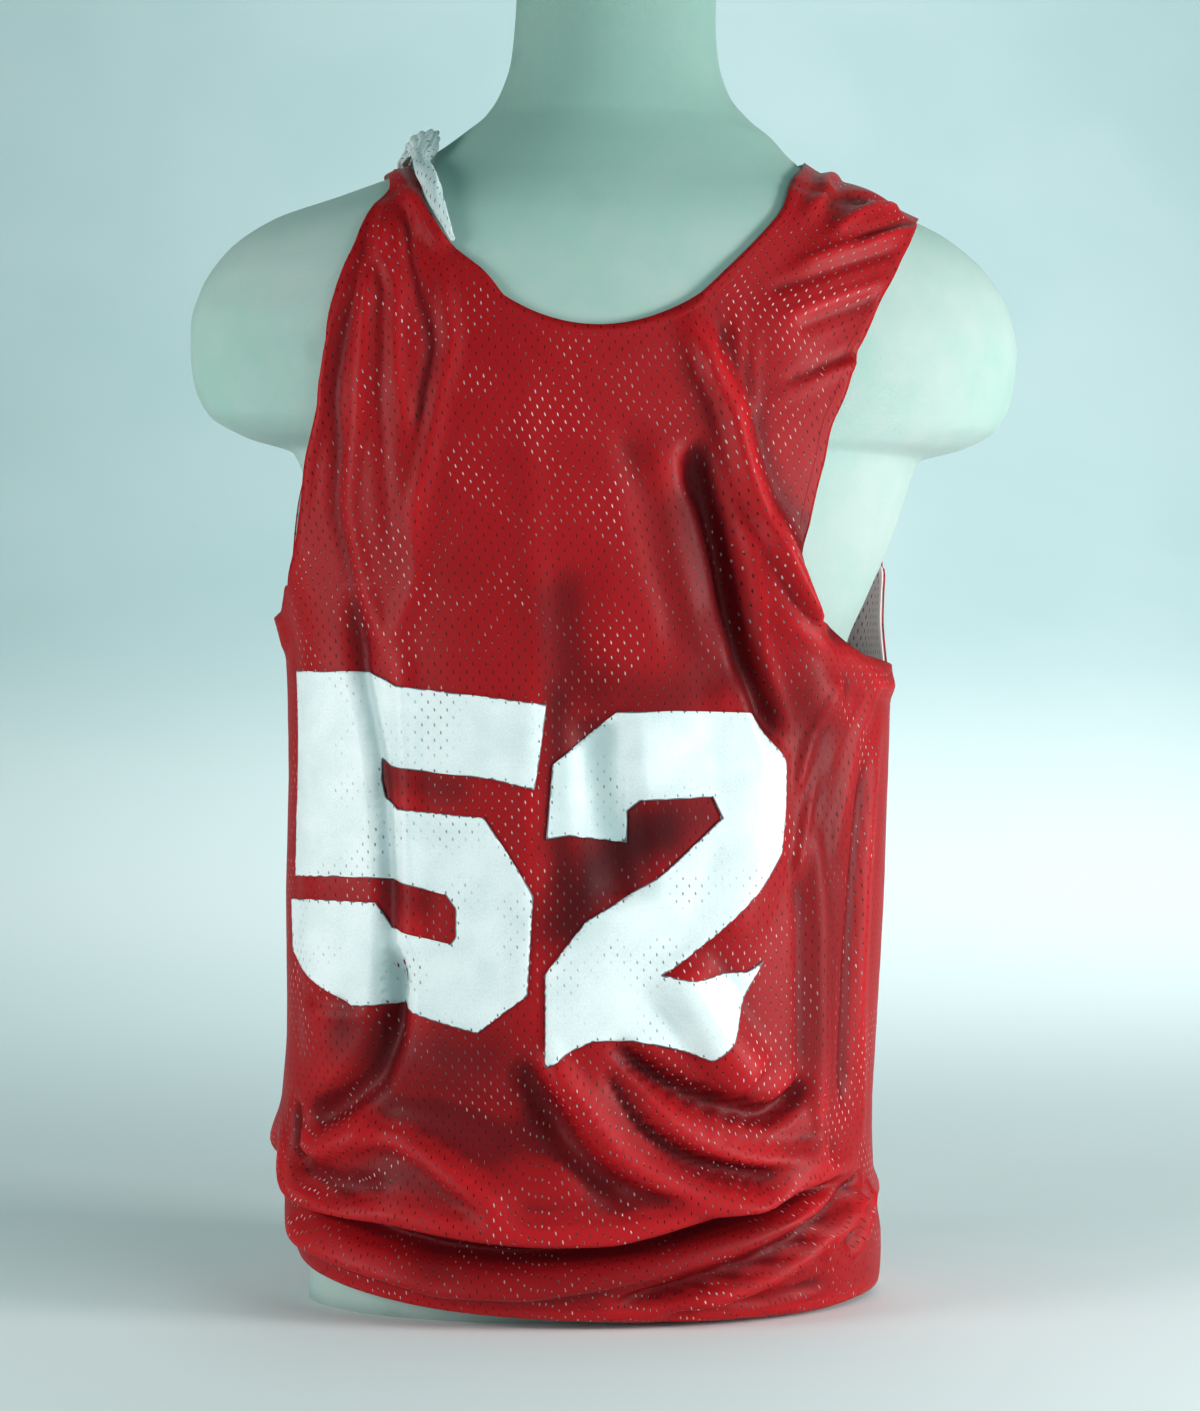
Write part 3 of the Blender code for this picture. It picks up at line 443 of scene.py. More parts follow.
@dataclass(frozen=True)
class PanelCut:
    """A front or back panel as one grid of (angle, height) with notches for the armholes and the neck.

    The body's levels have eight marks: seam, underarm, armhole and neck side at the left, and the same at the
    right. The chest's levels have the inner four, and a strap's have its armhole edge and its neck edge.
    """

    body: tuple[Level, ...]
    chest: tuple[Level, ...]
    left_strap: tuple[Level, ...]
    right_strap: tuple[Level, ...]
    columns: tuple[int, ...]
    dip: float
    centre: float
    seams: tuple[Mark, ...]
    seam_gap: float = 0.14

    @staticmethod
    def spread_rows(levels: Sequence[Level]) -> Array:
        """Rows of marks through the levels, each mark on its own smooth curve.

        Args:
            levels: The levels, low to high.

        Returns:
            (angle, height, tuck) of each row's marks.
        """
        stops = np.cumsum([level.rows for level in levels]) - levels[0].rows
        rows = np.arange(stops[-1] + 1)
        table = np.array([[level.angles, level.heights, [level.tuck] * len(level.angles)] for level in levels], float)
        return np.array([[smooth(stops, table[:, k, m], rows) for m in range(table.shape[2])]
                         for k in range(3)]).transpose(2, 1, 0)

    @staticmethod
    def spread_columns(rows: Array, counts: Sequence[int]) -> Array:
        """Every column of each row, smoothly between its marks.

        Args:
            rows: The rows' marks.
            counts: The number of cells from each mark to the next.

        Returns:
            (angle, height, tuck) of every corner.
        """
        stops = np.concatenate([[0], np.cumsum(counts)])
        at = np.arange(stops[-1] + 1)
        return np.array([[smooth(stops, row[:, k], at) for k in range(3)] for row in rows]).transpose(0, 2, 1)

    @staticmethod
    def strap_rows(below: Array, strap: Sequence[Level]) -> Array:
        """Rows of a strap over the row that it grows from.

        Args:
            below: That row's corners, from the armhole to the neck.
            strap: The strap's levels.

        Returns:
            The rows, whose first ones still follow the bend of the row below.
        """
        edges = PanelCut.spread_rows((Level(0, *below[[0, -1], :2].T), *strap))[1:]
        t = np.linspace(0, 1, len(below))[:, None]
        odd = below - (below[0] * (1 - t) + below[-1] * t)
        fade = np.clip(1 - np.arange(1, len(edges) + 1) / (strap[0].rows + strap[1].rows), 0, 1)
        return np.array([edge[0] * (1 - t) + edge[1] * t + odd * f for edge, f in zip(edges, fade)])

    def lay(self) -> tuple[Array, Array, dict[str, int]]:
        """The whole grid, which of its cells are cloth, and the numbers of its main rows and columns."""
        low = self.spread_columns(self.spread_rows(self.body), self.columns)
        arm_left, neck_left, neck_right, arm_right = np.cumsum(self.columns)[1:5].tolist()
        last = self.body[-1]
        inner = Level(0, last.angles[2:6], last.heights[2:6])
        middle = self.spread_columns(self.spread_rows((inner, *self.chest)), self.columns[2:5])[1:]
        bow = 1 - (2 * np.linspace(0, 1, neck_right - neck_left + 1) - 1) ** 2
        rise = np.linspace(0, 1, len(middle)) ** 2
        middle[:, neck_left - arm_left: neck_right - arm_left + 1, 1] -= rise[:, None] * bow * self.dip
        under, top = len(low), len(low) + len(middle)
        grid = np.zeros((top + sum(level.rows for level in self.left_strap), low.shape[1], 3))
        grid[:under] = low
        grid[under:] = low[-1]
        grid[under:top, arm_left: arm_right + 1] = middle
        base = grid[top - 1]
        grid[top:, arm_left: neck_left + 1] = self.strap_rows(base[arm_left: neck_left + 1], self.left_strap)
        right = self.strap_rows(base[neck_right: arm_right + 1][::-1], self.right_strap)
        grid[top:, neck_right: arm_right + 1] = right[:, ::-1]
        cloth = np.ones((grid.shape[0] - 1, grid.shape[1] - 1), bool)
        cloth[under - 1:, :arm_left] = cloth[under - 1:, arm_right:] = cloth[top - 1:, neck_left:neck_right] = False
        for angle, side in self.seams:
            grid[..., 0][np.isclose(grid[..., 0], angle)] += side * self.seam_gap
        marks = {"flat_low": under - 1 - last.rows, "underarm": under - 1, "neck": top - 1, "arm_left": arm_left,
                 "neck_left": neck_left, "neck_right": neck_right, "arm_right": arm_right}
        return grid, cloth, marks


FRONT_MARKS = (-97, -86, -72, -28, 14, 40, 58, 88)
FRONT_CUT = PanelCut(
    body=(
        Level(0, FRONT_MARKS, (34, 28, 24, 16, 11, 10, 12, 14), 0.75),
        Level(2, FRONT_MARKS, (31, 25, 20, 8, 4, 3, 5, 7), 0.5),
        Level(2, FRONT_MARKS, (31, 26, 21, 8, 3.4, 2.4, 4.4, 6.4), 0.08),
        Level(2, FRONT_MARKS, (36, 31, 26, 13, 8, 7, 9, 11)),
        Level(12, FRONT_MARKS, (50, 48, 46, 34, 48, 67, 80, 58)),
        Level(6, FRONT_MARKS, (66, 64, 58, 45, 60, 79, 93, 74)),
        Level(8, (-97, -86, -72, -28, 14, 40, 57, 88), (95, 89, 71, 60, 76, 97, 106, 92)),
        Level(9, (-97, -86, -73, -28, 13, 39, 57, 88), (125, 124, 118, 100, 104, 118, 122, 116)),
        Level(7, (-97, -86, -74, -27, 13, 38, 57, 88), (150, 148, 146, 140, 140, 140, 140, 138)),
        Level(18, (-97, -86, -74, -26, 12, 36, 56, 88), (220, 218, 216, 212, 210, 210, 208, 206)),
        Level(52, (-97, -86, -74, -25, 12, 33, 52, 88), (404, 408, 424, 418, 414, 408, 386, 377)),
    ),
    chest=(
        Level(5, (-67, -25, 12, 29), (443, 440, 438, 434)),
        Level(7, (-61, -24, 11, 30), (470, 468, 466, 464)),
        Level(7, (-55, -23, 10.5, 30), (497, 494, 492, 494)),
        Level(8, (-48, -22, 10, 28.4), (528, 522, 520, 522)),
        Level(14, (-45, -19, 7, 29.6), (562, 588, 592, 562)),
    ),
    left_strap=(
        Level(6, (-44, -22), (592, 602)), Level(6, (-43.5, -28), (614, 618)), Level(5, (-46, -34), (635, 635)),
        Level(5, (-54, -46), (653, 654)), Level(6, (-76, -66), (666, 668)), Level(8, (-90, -90), (668.5, 676)),
    ),
    right_strap=(
        Level(6, (33.4, 13), (588, 614)), Level(6, (38, 22), (607, 640)), Level(5, (43, 34), (622, 661)),
        Level(7, (57, 56), (643, 676)), Level(6, (72, 72), (650, 682)), Level(6, (90, 90), (652, 684)),
    ),
    columns=(8, 12, 34, 34, 26, 14, 18),
    dip=19,
    centre=-17,
    seams=((88, -1), (90, -1), (-97, 1), (-90, 1)),
)
BACK_MARKS = (88, 106, 117, 155, 205, 243, 254, 263)
BACK_CUT = PanelCut(
    body=(
        Level(0, BACK_MARKS, (14, 12, 9, 10, 12, 24, 30, 34), 0.75),
        Level(2, BACK_MARKS, (7, 5, 2.4, 2, 5, 18, 26, 31), 0.5),
        Level(2, BACK_MARKS, (6.4, 4.4, 2, 1.5, 5, 18, 26, 31), 0.08),
        Level(2, BACK_MARKS, (11, 9, 6, 6, 10, 24, 31, 36)),
        Level(12, BACK_MARKS, (58, 44, 38, 32, 34, 46, 49, 50)),
        Level(6, BACK_MARKS, (74, 64, 58, 46, 46, 62, 66, 66)),
        Level(8, BACK_MARKS, (92, 81, 75, 63, 64, 87, 91, 95)),
        Level(9, BACK_MARKS, (116, 110, 106, 97, 99, 118, 122, 125)),
        Level(7, (88, 105, 116, 154, 206, 243, 254, 263), (138, 138, 138, 140, 142, 148, 150, 150)),
        Level(18, (88, 104, 115, 152, 208, 243, 254, 263), (206, 207, 208, 210, 212, 218, 219, 220)),
        Level(52, (88, 96, 104, 150, 210, 246, 256, 263), (377, 404, 440, 430, 430, 428, 410, 404)),
    ),
    chest=(
        Level(10, (114, 151, 209, 236), (476, 476, 476, 470)),
        Level(12, (128, 152, 208, 224), (520, 530, 530, 520)),
        Level(16, (139, 151, 207, 217), (575, 608, 600, 575)),
    ),
    left_strap=(
        Level(7, (139, 146), (603, 632)), Level(6, (133, 138), (622, 653)), Level(8, (121, 127), (638, 669)),
        Level(7, (106, 110), (649, 678)), Level(6, (90, 90), (652, 684)),
    ),
    right_strap=(
        Level(7, (218, 208), (606, 628)), Level(6, (223, 214), (628, 643)), Level(8, (234, 226), (650, 659)),
        Level(7, (252, 249), (667, 675)), Level(6, (270, 270), (668.5, 676)),
    ),
    columns=(12, 8, 26, 36, 28, 8, 8),
    dip=30,
    centre=180,
    seams=((88, 1), (90, 1), (263, -1), (270, -1)),
)


# ------------------------------------------------------------------ mesh tools
def lay(bm: Mesh, order: Sequence[int], points: Array, uv: Optional[Array],
        measures: dict[str, Array]) -> None:
    """Moves a bmesh's corners to their places and gives them what the finishes read.

    Args:
        bm: The bmesh.
        order: The number, in the other arrays, of each of its corners.
        points: The corners' places.
        uv: The cloth's own coordinates there, in metres, if there is cloth.
        measures: Other numbers of each corner, by the name that a finish reads them under.
    """
    for key in measures:
        bm.verts.layers.float.new(key)
    layers = [(bm.verts.layers.float[key], values) for key, values in measures.items()]
    bm.verts.index_update()
    for vert, number in zip(bm.verts, order):
        vert.co = points[number]
        for layer, values in layers:
            vert[layer] = values[number]
    if uv is not None:
        cut = bm.loops.layers.uv.new("cloth")
        for face in bm.faces:
            for loop in face.loops:
                loop[cut].uv = uv[order[loop.vert.index]]


def grid_of(points: Array, uv: Optional[Array] = None, cells: Optional[Array] = None,
            measures: Optional[dict[str, Array]] = None) -> Mesh:
    """Blender's grid, laid through rows and columns of corners.

    Args:
        points: The corners.
        uv: The cloth's own coordinates there.
        cells: Which cells are kept, if not all.
        measures: Other numbers of each corner.

    Returns:
        The open bmesh.
    """
    rows, columns = points.shape[0] - 1, points.shape[1] - 1
    bm = bmesh.new()
    bmesh.ops.create_grid(bm, x_segments=columns, y_segments=rows, size=1)
    place = bm.verts.layers.int.new("place")
    for vert in bm.verts:
        row, column = round((vert.co.y + 1) / 2 * rows), round((vert.co.x + 1) / 2 * columns)
        vert[place] = row * (columns + 1) + column
    if cells is not None:
        bare = [face for face in bm.faces
                if not cells[divmod(min(vert[place] for vert in face.verts), columns + 1)]]
        bmesh.ops.delete(bm, geom=bare, context="FACES")
        bmesh.ops.delete(bm, geom=[vert for vert in bm.verts if not vert.link_faces], context="VERTS")
    order = [vert[place] for vert in bm.verts]
    bm.verts.layers.int.remove(place)
    flat_measures = {key: values.ravel() for key, values in (measures or {}).items()}
    lay(bm, order, points.reshape(-1, 3), None if uv is None else uv.reshape(-1, 2), flat_measures)
    return bm


def close(bm: Mesh) -> None:
    """Joins the seam of a grid rolled into a tube, and fills the tube's ends."""
    bmesh.ops.remove_doubles(bm, verts=bm.verts, dist=WELD)
    bmesh.ops.holes_fill(bm, edges=[edge for edge in bm.edges if edge.is_boundary], sides=0)
    bmesh.ops.recalc_face_normals(bm, faces=bm.faces)


def link(name: str, bm: Mesh, *finishes: Material) -> Piece:
    """Hands a bmesh over as a smooth-shaded object.

    Args:
        name: The object's name.
        bm: The bmesh, which is freed.
        finishes: Its materials, by slot.

    Returns:
        The linked object.
    """
    mesh = bpy.data.meshes.new(name)
    bm.to_mesh(mesh)
    bm.free()
    for finish in finishes:
        mesh.materials.append(finish)
    mesh.shade_smooth()
    made = bpy.data.objects.new(name, mesh)
    bpy.context.scene.collection.objects.link(made)
    return made


def declare(piece: Piece, node: str = "", wall: float = 0.0, inner: int = 0) -> Piece:
    """Finishes a piece of the part: gives an open shell its wall, hangs it on the root body and hides the plain node
    that it stands for.

    Args:
        piece: The piece.
        node: The plain node that it stands for, if any.
        wall: The wall's thickness inwards in metres, for an open shell.
        inner: The slot of the finish on the wall's inside.

    Returns:
        The same piece.
    """
    if wall:
        solid = piece.modifiers.new("Wall", "SOLIDIFY")
        solid.thickness, solid.offset, solid.use_even_offset = wall, -1, False
        solid.material_offset = inner
    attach(piece, "root")
    if node:
        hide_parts(node)
    LOG.info("%s: %d corners", piece.name, len(piece.data.vertices))
    return piece


# ------------------------------------------------------------------ shader tools
Number = Union[float, "Value"]


def operator(operation: str, swapped: bool = False) -> Callable[["Value", Number], "Value"]:
    """A method of Value that adds one Math node of two numbers.

    Args:
        operation: The node's operation.
        swapped: Whether the other number comes first.

    Returns:
        The method.
    """
    def method(self: "Value", other: Number) -> "Value":
        """The Math node's result."""
        return self.bench.math(operation, *((other, self) if swapped else (self, other)))
    return method


class Value:
    """A number in a material that Python's operators can work with."""

    __add__ = __radd__ = operator("ADD")
    __mul__ = __rmul__ = operator("MULTIPLY")
    __sub__, __rsub__ = operator("SUBTRACT"), operator("SUBTRACT", swapped=True)
    __truediv__, __pow__ = operator("DIVIDE"), operator("POWER")
    larger = operator("MAXIMUM")

    def __init__(self, bench: "Bench", socket: Socket) -> None:
        """Wraps one output socket."""
        self.bench, self.socket = bench, socket

    def fraction(self) -> "Value":
        """The part after the point."""
        return self.bench.math("FRACT", self)

    def rounded(self) -> "Value":
        """The nearest whole number."""
        return self.bench.math("ROUND", self)

    def sine(self) -> "Value":
        """Sine of an angle in radians."""
        return self.bench.math("SINE", self)

    def step(self, low: float, high: float) -> "Value":
        """0 at one value and 1 at another, with a soft change between them."""
        node = self.bench.add("ShaderNodeMapRange", {"interpolation_type": "SMOOTHSTEP"},
                              {"Value": self, "From Min": low, "From Max": high})
        return Value(self.bench, node.outputs[0])


class Bench:
    """The node tree of one material."""

    def __init__(self, name: str) -> None:
        """Starts a material with its Principled shader."""
        self.material = bpy.data.materials.new(name)
        self.material.use_nodes = True
        self.tree = self.material.node_tree
        self.shader = self.tree.nodes["Principled BSDF"]

    def set(self, socket: Socket, value: Any) -> None:
        """Links or writes one input.

        Args:
            socket: The input.
            value: A link, a number or a colour.
        """
        if isinstance(value, Value):
            value = value.socket
        if isinstance(value, Socket):
            self.tree.links.new(value, socket)
        elif isinstance(value, tuple) and len(value) == 3 and len(socket.default_value) == 4:
            socket.default_value = (*value, 1)
        else:
            socket.default_value = value

    def add(self, kind: str, settings: Optional[dict[str, Any]] = None,
            values: Optional[dict[Union[str, int], Any]] = None) -> bpy.types.Node:
        """Adds any node.

        Args:
            kind: Blender's node type.
            settings: Its properties, set first.
            values: Numbers, colours or links for its sockets, by name or number.

        Returns:
            The node.
        """
        node = self.tree.nodes.new(kind)
        for key, value in (settings or {}).items():
            setattr(node, key, value)
        for key, value in (values or {}).items():
            self.set(node.inputs[key], value)
        return node

    def math(self, operation: str, *values: Number) -> Value:
        """One Math node."""
        return Value(self, self.add("ShaderNodeMath", {"operation": operation}, dict(enumerate(values))).outputs[0])

    def mix(self, share: Number, first: Any, second: Any) -> Socket:
        """A colour between two."""
        return self.add("ShaderNodeMix", {"data_type": "RGBA"}, {0: share, 6: first, 7: second}).outputs[2]

    def parts(self, vector: Socket) -> list[Value]:
        """A vector's three numbers."""
        return [Value(self, socket) for socket in self.add("ShaderNodeSeparateXYZ", None, {0: vector}).outputs]

    def cloth(self) -> tuple[Socket, Value, Value]:
        """The cloth's own coordinates: the vector, and across and along in millimetres."""
        vector = self.add("ShaderNodeUVMap", {"uv_map": "cloth"}).outputs[0]
        across, along, _ = self.parts(vector)
        return vector, across / MM, along / MM

    def place(self) -> Socket:
        """Object coordinates."""
        return self.add("ShaderNodeTexCoord").outputs["Object"]

    def cloud(self, vector: Socket, cloud: Cloud) -> Value:
        """Soft noise, about 0 to 1, at coordinates in metres."""
        size, detail, seed = cloud
        moved = self.add("ShaderNodeMapping", None, {0: vector, 1: (seed, seed * 0.7, seed * 0.3)}).outputs[0]
        node = self.add("ShaderNodeTexNoise", None, {"Vector": moved, "Scale": 1 / size, "Detail": detail})
        return Value(self, node.outputs[0])

    def measure(self, name: str) -> Value:
        """A number that the mesh carries at its corners."""
        return Value(self, self.add("ShaderNodeAttribute", {"attribute_name": name}).outputs["Fac"])

    def edge(self) -> Value:
        """Distance to the nearest free edge, in millimetres."""
        return self.measure("edge") / MM

    def bump(self, height: Value, depth: float, strength: float) -> None:
        """Raises the surface by a height of 0 to 1 times a depth in metres."""
        node = self.add("ShaderNodeBump", None, {"Height": height, "Distance": depth, "Strength": strength})
        self.set(self.shader.inputs["Normal"], node.outputs[0])

    def finish(self, **values: Any) -> Material:
        """Writes the shader's inputs, named with underscores for spaces."""
        for key, value in values.items():
            self.set(self.shader.inputs[key.replace("_", " ")], value)
        return self.material


@dataclass(frozen=True)
class HoleLattice:
    """The half-drop rows of long holes in the mesh, in millimetres."""

    column: float = 3.75
    pitch: float = 8.6
    half_width: float = 0.38
    half_height: float = 1.2
    slant: float = 0.14

    def mask(self, across: Value, along: Value, inner: float = 0.6, outer: float = 1.35) -> Value:
        """1 in a hole and 0 in the cloth.

        Args:
            across: Millimetres across the cloth.
            along: Millimetres along the cloth.
            inner: Squared share of a hole's radius where it starts to close.
            outer: Squared share where it has closed.

        Returns:
            The mask.
        """
        nearest = (across / self.column).rounded()
        odd = (nearest * 0.5).fraction()
        row = along / self.pitch + odd
        y = (row - row.rounded()) * self.pitch
        x = across - nearest * self.column + y * self.slant
        return 1 - ((x / self.half_width) ** 2 + (y / self.half_height) ** 2).step(inner, outer)


# ------------------------------------------------------------------ finishes
KNIT = (0.0008, 2.0, 5.0)
HOLE_DEPTH, RELIEF, RELIEF_STRENGTH = 0.9, 0.45 * MM, 0.8


@dataclass(frozen=True)
class RedMesh:
    """The outer red mesh: a knit with long holes, behind which the white layer slides in and out of sight."""

    name: str = "red mesh cloth"
    red: Colour = srgb(161, 16, 23)
    deep: Colour = srgb(144, 12, 18)
    behind: Colour = srgb(226, 200, 203)
    # dark is painted shade, for the shade strokes and for holes with no white cloth behind; trough is painted shade
    # in troughs; crest is a painted highlight on crests.
    dark: Colour = srgb(60, 4, 9)
    trough: Colour = srgb(92, 6, 14)
    crest: Colour = srgb(196, 26, 33)
    lattice: HoleLattice = HoleLattice()
    under_lattice: HoleLattice = HoleLattice(half_width=2.0, half_height=4.0)
    drift: Cloud = (0.09, 1.0, 3.0)
    twist: Cloud = (0.13, 1.0, 7.0)
    patches: Cloud = (0.055, 1.5, 11.0)
    blotches: Cloud = (0.05, 3.0, 1.0)
    slide: Mark = (26, 34)
    seam_allowance: Mark = (10, 4)
    hem: Mark = (7.2, 6.2)
    under_stretch: Mark = (1.045, 0.985)
    under_skew: Mark = (0.05, 0.03)
    under_hole: Mark = (0.4, 1.5)
    patch_edge: Mark = (0.42, 0.6)
    least_seen: float = 0.35
    painted_trough_shade: float = 0.75
    painted_crest_highlight: float = 0.5
    knit_rise: float = 0.22
    hem_rise: float = 0.35

    def behind_holes(self, bench: Bench, vector: Socket, across: Value, along: Value) -> Value:
        """How much of the white layer shows through the holes.

        Args:
            bench: The material.
            vector: The cloth's coordinates.
            across: Millimetres across the cloth.
            along: Millimetres along the cloth.

        Returns:
            1 where the white cloth lies behind, 0 where a hole of it does, or nothing.
        """
        drift = (bench.cloud(vector, self.drift) - 0.5) * self.slide[0]
        twist = (bench.cloud(vector, self.twist) - 0.5) * self.slide[1]
        stretch, skew = self.under_stretch, self.under_skew
        under = self.under_lattice.mask(across * stretch[0] + along * skew[0] + drift,
                                        along * stretch[1] - across * skew[1] + twist, *self.under_hole)
        patches = bench.cloud(vector, self.patches).step(*self.patch_edge)
        seen = self.least_seen + (1 - self.least_seen) * patches
        return (1 - under.larger(bench.edge().step(*self.seam_allowance))) * seen

    def make(self) -> Material:
        """The material."""
        bench = Bench(self.name)
        vector, across, along = bench.cloth()
        hole, dark, hollow = self.lattice.mask(across, along), bench.measure("shade"), bench.measure("hollow")
        # dark holds the painted shade of the shade strokes, which also darkens what shows in the holes.
        seen = self.behind_holes(bench, vector, across, along) * (1 - dark)
        knit = bench.cloud(vector, KNIT)
        cloth = bench.mix((bench.cloud(vector, self.blotches) * 0.4 + knit * 0.6).step(0.3, 0.75), self.red,
                          self.deep)
        # Painted shade in troughs and a painted highlight on crests, by how far each corner lies below or above the
        # cloth round it.
        cloth = bench.mix(hollow.step(0.1, 0.9) * self.painted_trough_shade, cloth, self.trough)
        cloth = bench.mix((0 - hollow).step(0.15, 0.9) * self.painted_crest_highlight, cloth, self.crest)
        # Painted shade along the shade strokes.
        cloth = bench.mix(dark, cloth, self.dark)
        rise = 1 - hole * HOLE_DEPTH + knit * self.knit_rise + bench.edge().step(*self.hem) * self.hem_rise
        bench.bump(rise, RELIEF, RELIEF_STRENGTH)
        # Holes show the white layer, or painted shade where no white cloth lies behind them.
        return bench.finish(Base_Color=bench.mix(hole, cloth, bench.mix(seen, self.dark, self.behind)),
                            Roughness=0.5, Specular_IOR_Level=0.16)


@dataclass(frozen=True)
class WhiteMesh:
    """The inner white mesh, with painted shade in its holes, and a plain bound edge of a width in mm where one shows.
    """

    name: str = "white mesh cloth"
    bound: float = 0.0
    white: Colour = srgb(214, 226, 226)
    deep: Colour = srgb(176, 196, 198)
    # Painted shade seen in the holes.
    dark: Colour = srgb(48, 60, 62)
    lattice: HoleLattice = HoleLattice()
    blotches: Cloud = (0.03, 2.0, 0.0)
    soft: float = 0.4
    tape_tint: float = 0.8
    knit_rise: float = 0.25

    def make(self) -> Material:
        """The material."""
        bench = Bench(self.name)
        vector, across, along = bench.cloth()
        hole, knit = self.lattice.mask(across, along), bench.cloud(vector, KNIT)
        cloth = bench.mix((bench.cloud(vector, self.blotches) * 0.7 + knit * 0.4).step(0.3, 0.8), self.white,
                          self.deep)
        if self.bound:
            tape = bench.edge().step(self.bound + self.soft, self.bound - self.soft)
            hole = hole * (1 - tape)
            cloth = bench.mix(tape * self.tape_tint, cloth, self.white)
        bench.bump(1 - hole * HOLE_DEPTH + knit * self.knit_rise, RELIEF, RELIEF_STRENGTH)
        # Holes are darkened with painted shade.
        return bench.finish(Base_Color=bench.mix(hole * HOLE_DEPTH, cloth, self.dark), Roughness=0.6,
                            Specular_IOR_Level=0.25)


@dataclass(frozen=True)
class PrintInk:
    """The flat white numeral print, with a few holes not quite covered, painted shade in them and in its hollows, and
    a thin painted shadow along its edge.
    """

    name: str = "white print"
    white: Colour = srgb(238, 246, 247)
    worn: Colour = srgb(216, 230, 231)
    # dark is painted shade in uncovered holes, outline is a painted shadow line along the edge, and trough is painted
    # shade.
    dark: Colour = srgb(120, 96, 100)
    outline: Colour = srgb(36, 32, 52)
    trough: Colour = srgb(142, 172, 174)
    lattice: HoleLattice = HoleLattice(half_width=0.5, half_height=1.0)
    thin: Cloud = (0.045, 2.0, 9.0)
    grain: Cloud = (0.0012, 2.0, 4.0)
    wear: Cloud = (0.025, 3.0, 0.0)
    rim: Mark = (1.0, 0.5)
    torn_rim: Mark = (3.2, 1.4)
    thin_edge: Mark = (0.5, 0.68)
    painted_hole_shade: float = 0.85
    painted_edge_shadow: float = 0.85
    painted_trough_shade: float = 0.6
    shade_tint: float = 0.45
    film_relief: float = 0.3 * MM

    def make(self) -> Material:
        """The material."""
        bench = Bench(self.name)
        vector, across, along = bench.cloth()
        hole, near = self.lattice.mask(across, along), bench.edge()
        thin = bench.cloud(vector, self.thin).step(*self.thin_edge)
        grain = bench.cloud(vector, self.grain)
        ink = bench.mix((bench.cloud(vector, self.wear) * 0.6 + grain * 0.5).step(0.35, 0.8), self.white, self.worn)
        bench.bump(1 - hole * (0.25 + 0.6 * thin) + grain * 0.12, self.film_relief, 0.6)
        # Painted shade in hollows and along the shade strokes.
        ink = bench.mix(bench.measure("hollow").step(0.1, 0.9) * self.painted_trough_shade, ink, self.trough)
        ink = bench.mix(bench.measure("shade") * self.shade_tint, ink, self.trough)
        # Painted shade in the holes that the print doesn't quite cover.
        ink = bench.mix(hole * thin * self.painted_hole_shade, ink, self.dark)
        # A painted shadow line along the print's edge, wider where holes notch it.
        rim = near.step(*self.rim).larger(near.step(*self.torn_rim) * hole)
        return bench.finish(Base_Color=bench.mix(rim * self.painted_edge_shadow, ink, self.outline), Roughness=0.42,
                            Specular_IOR_Level=0.35)


@dataclass(frozen=True)
class FormCloth:
    """The dress form's pale green cover: a fine plain weave, a little clouded and stained, and darkened from the
    shoulders up with painted shade.
    """

    name: str = "pale green form cover"
    pale: Colour = srgb(178, 194, 190)
    green: Colour = srgb(152, 188, 178)
    # A darker colour for real stains and for painted shade on the upper form.
    stain_and_painted_shade: Colour = srgb(124, 160, 150)
    blotch: Cloud = (0.11, 3.0, 2.0)
    cloudy: Cloud = (0.022, 4.0, 6.0)
    stains: Cloud = (0.05, 5.0, 12.0)
    fibre: Cloud = (0.0018, 2.0, 1.0)
    thread: float = 1.1 * MM
    # Heights over which painted shade darkens the cover, from the shoulders up.
    shoulders: Mark = (0.60, 0.72)
    stain_edge: Mark = (0.6, 0.74)
    stain_tint: float = 0.3
    painted_shoulder_shade: float = 0.7
    cover_relief: float = 0.35 * MM

    def make(self) -> Material:
        """The material."""
        bench = Bench(self.name)
        place = bench.place()
        across, _, height = bench.parts(place)
        blotch, cloudy, stains, fibre = (bench.cloud(place, cloud)
                                         for cloud in (self.blotch, self.cloudy, self.stains, self.fibre))
        # Painted shade: the cover turns greener and darker from the shoulders up.
        upper = height.step(*self.shoulders)
        cover = bench.mix((blotch * 0.75 + cloudy * 0.35 + upper * 0.25).step(0.3, 0.85), self.pale, self.green)
        # Real stains, and painted shade from the shoulders up, in one darker colour.
        cover = bench.mix(stains.step(*self.stain_edge) * self.stain_tint + upper * self.painted_shoulder_shade, cover,
                          self.stain_and_painted_shade)
        warp, weft = ((way * (2 * math.pi / self.thread)).sine() for way in (across, height))
        bench.bump(warp * weft * 0.25 + fibre * 0.5 + cloudy * 0.6, self.cover_relief, 0.5)
        return bench.finish(Base_Color=cover, Roughness=0.82, Specular_IOR_Level=0.15, Sheen_Weight=0.15)


@dataclass(frozen=True)
class Paper:
    """The plain pale floor and backdrop."""

    name: str = "pale backdrop"
    pale: Colour = srgb(190, 208, 210)
    grey: Colour = srgb(182, 203, 205)
    floor: Colour = srgb(236, 242, 244)
    blotches: Cloud = (0.5, 3.0, 0.0)
    floor_fade: Mark = (0.5, 0.0)

    def make(self) -> Material:
        """The material."""
        bench = Bench(self.name)
        place = bench.place()
        height = bench.parts(place)[2]
        wall = bench.mix(bench.cloud(place, self.blotches).step(0.3, 0.7), self.pale, self.grey)
        return bench.finish(Base_Color=bench.mix(height.step(*self.floor_fade), wall, self.floor), Roughness=0.85,
                            Specular_IOR_Level=0.1)


# ------------------------------------------------------------------ the jersey
class Side(Enum):
    """Which armhole a piece of the lining shows in."""

    RIGHT = "right"
    LEFT = "left"


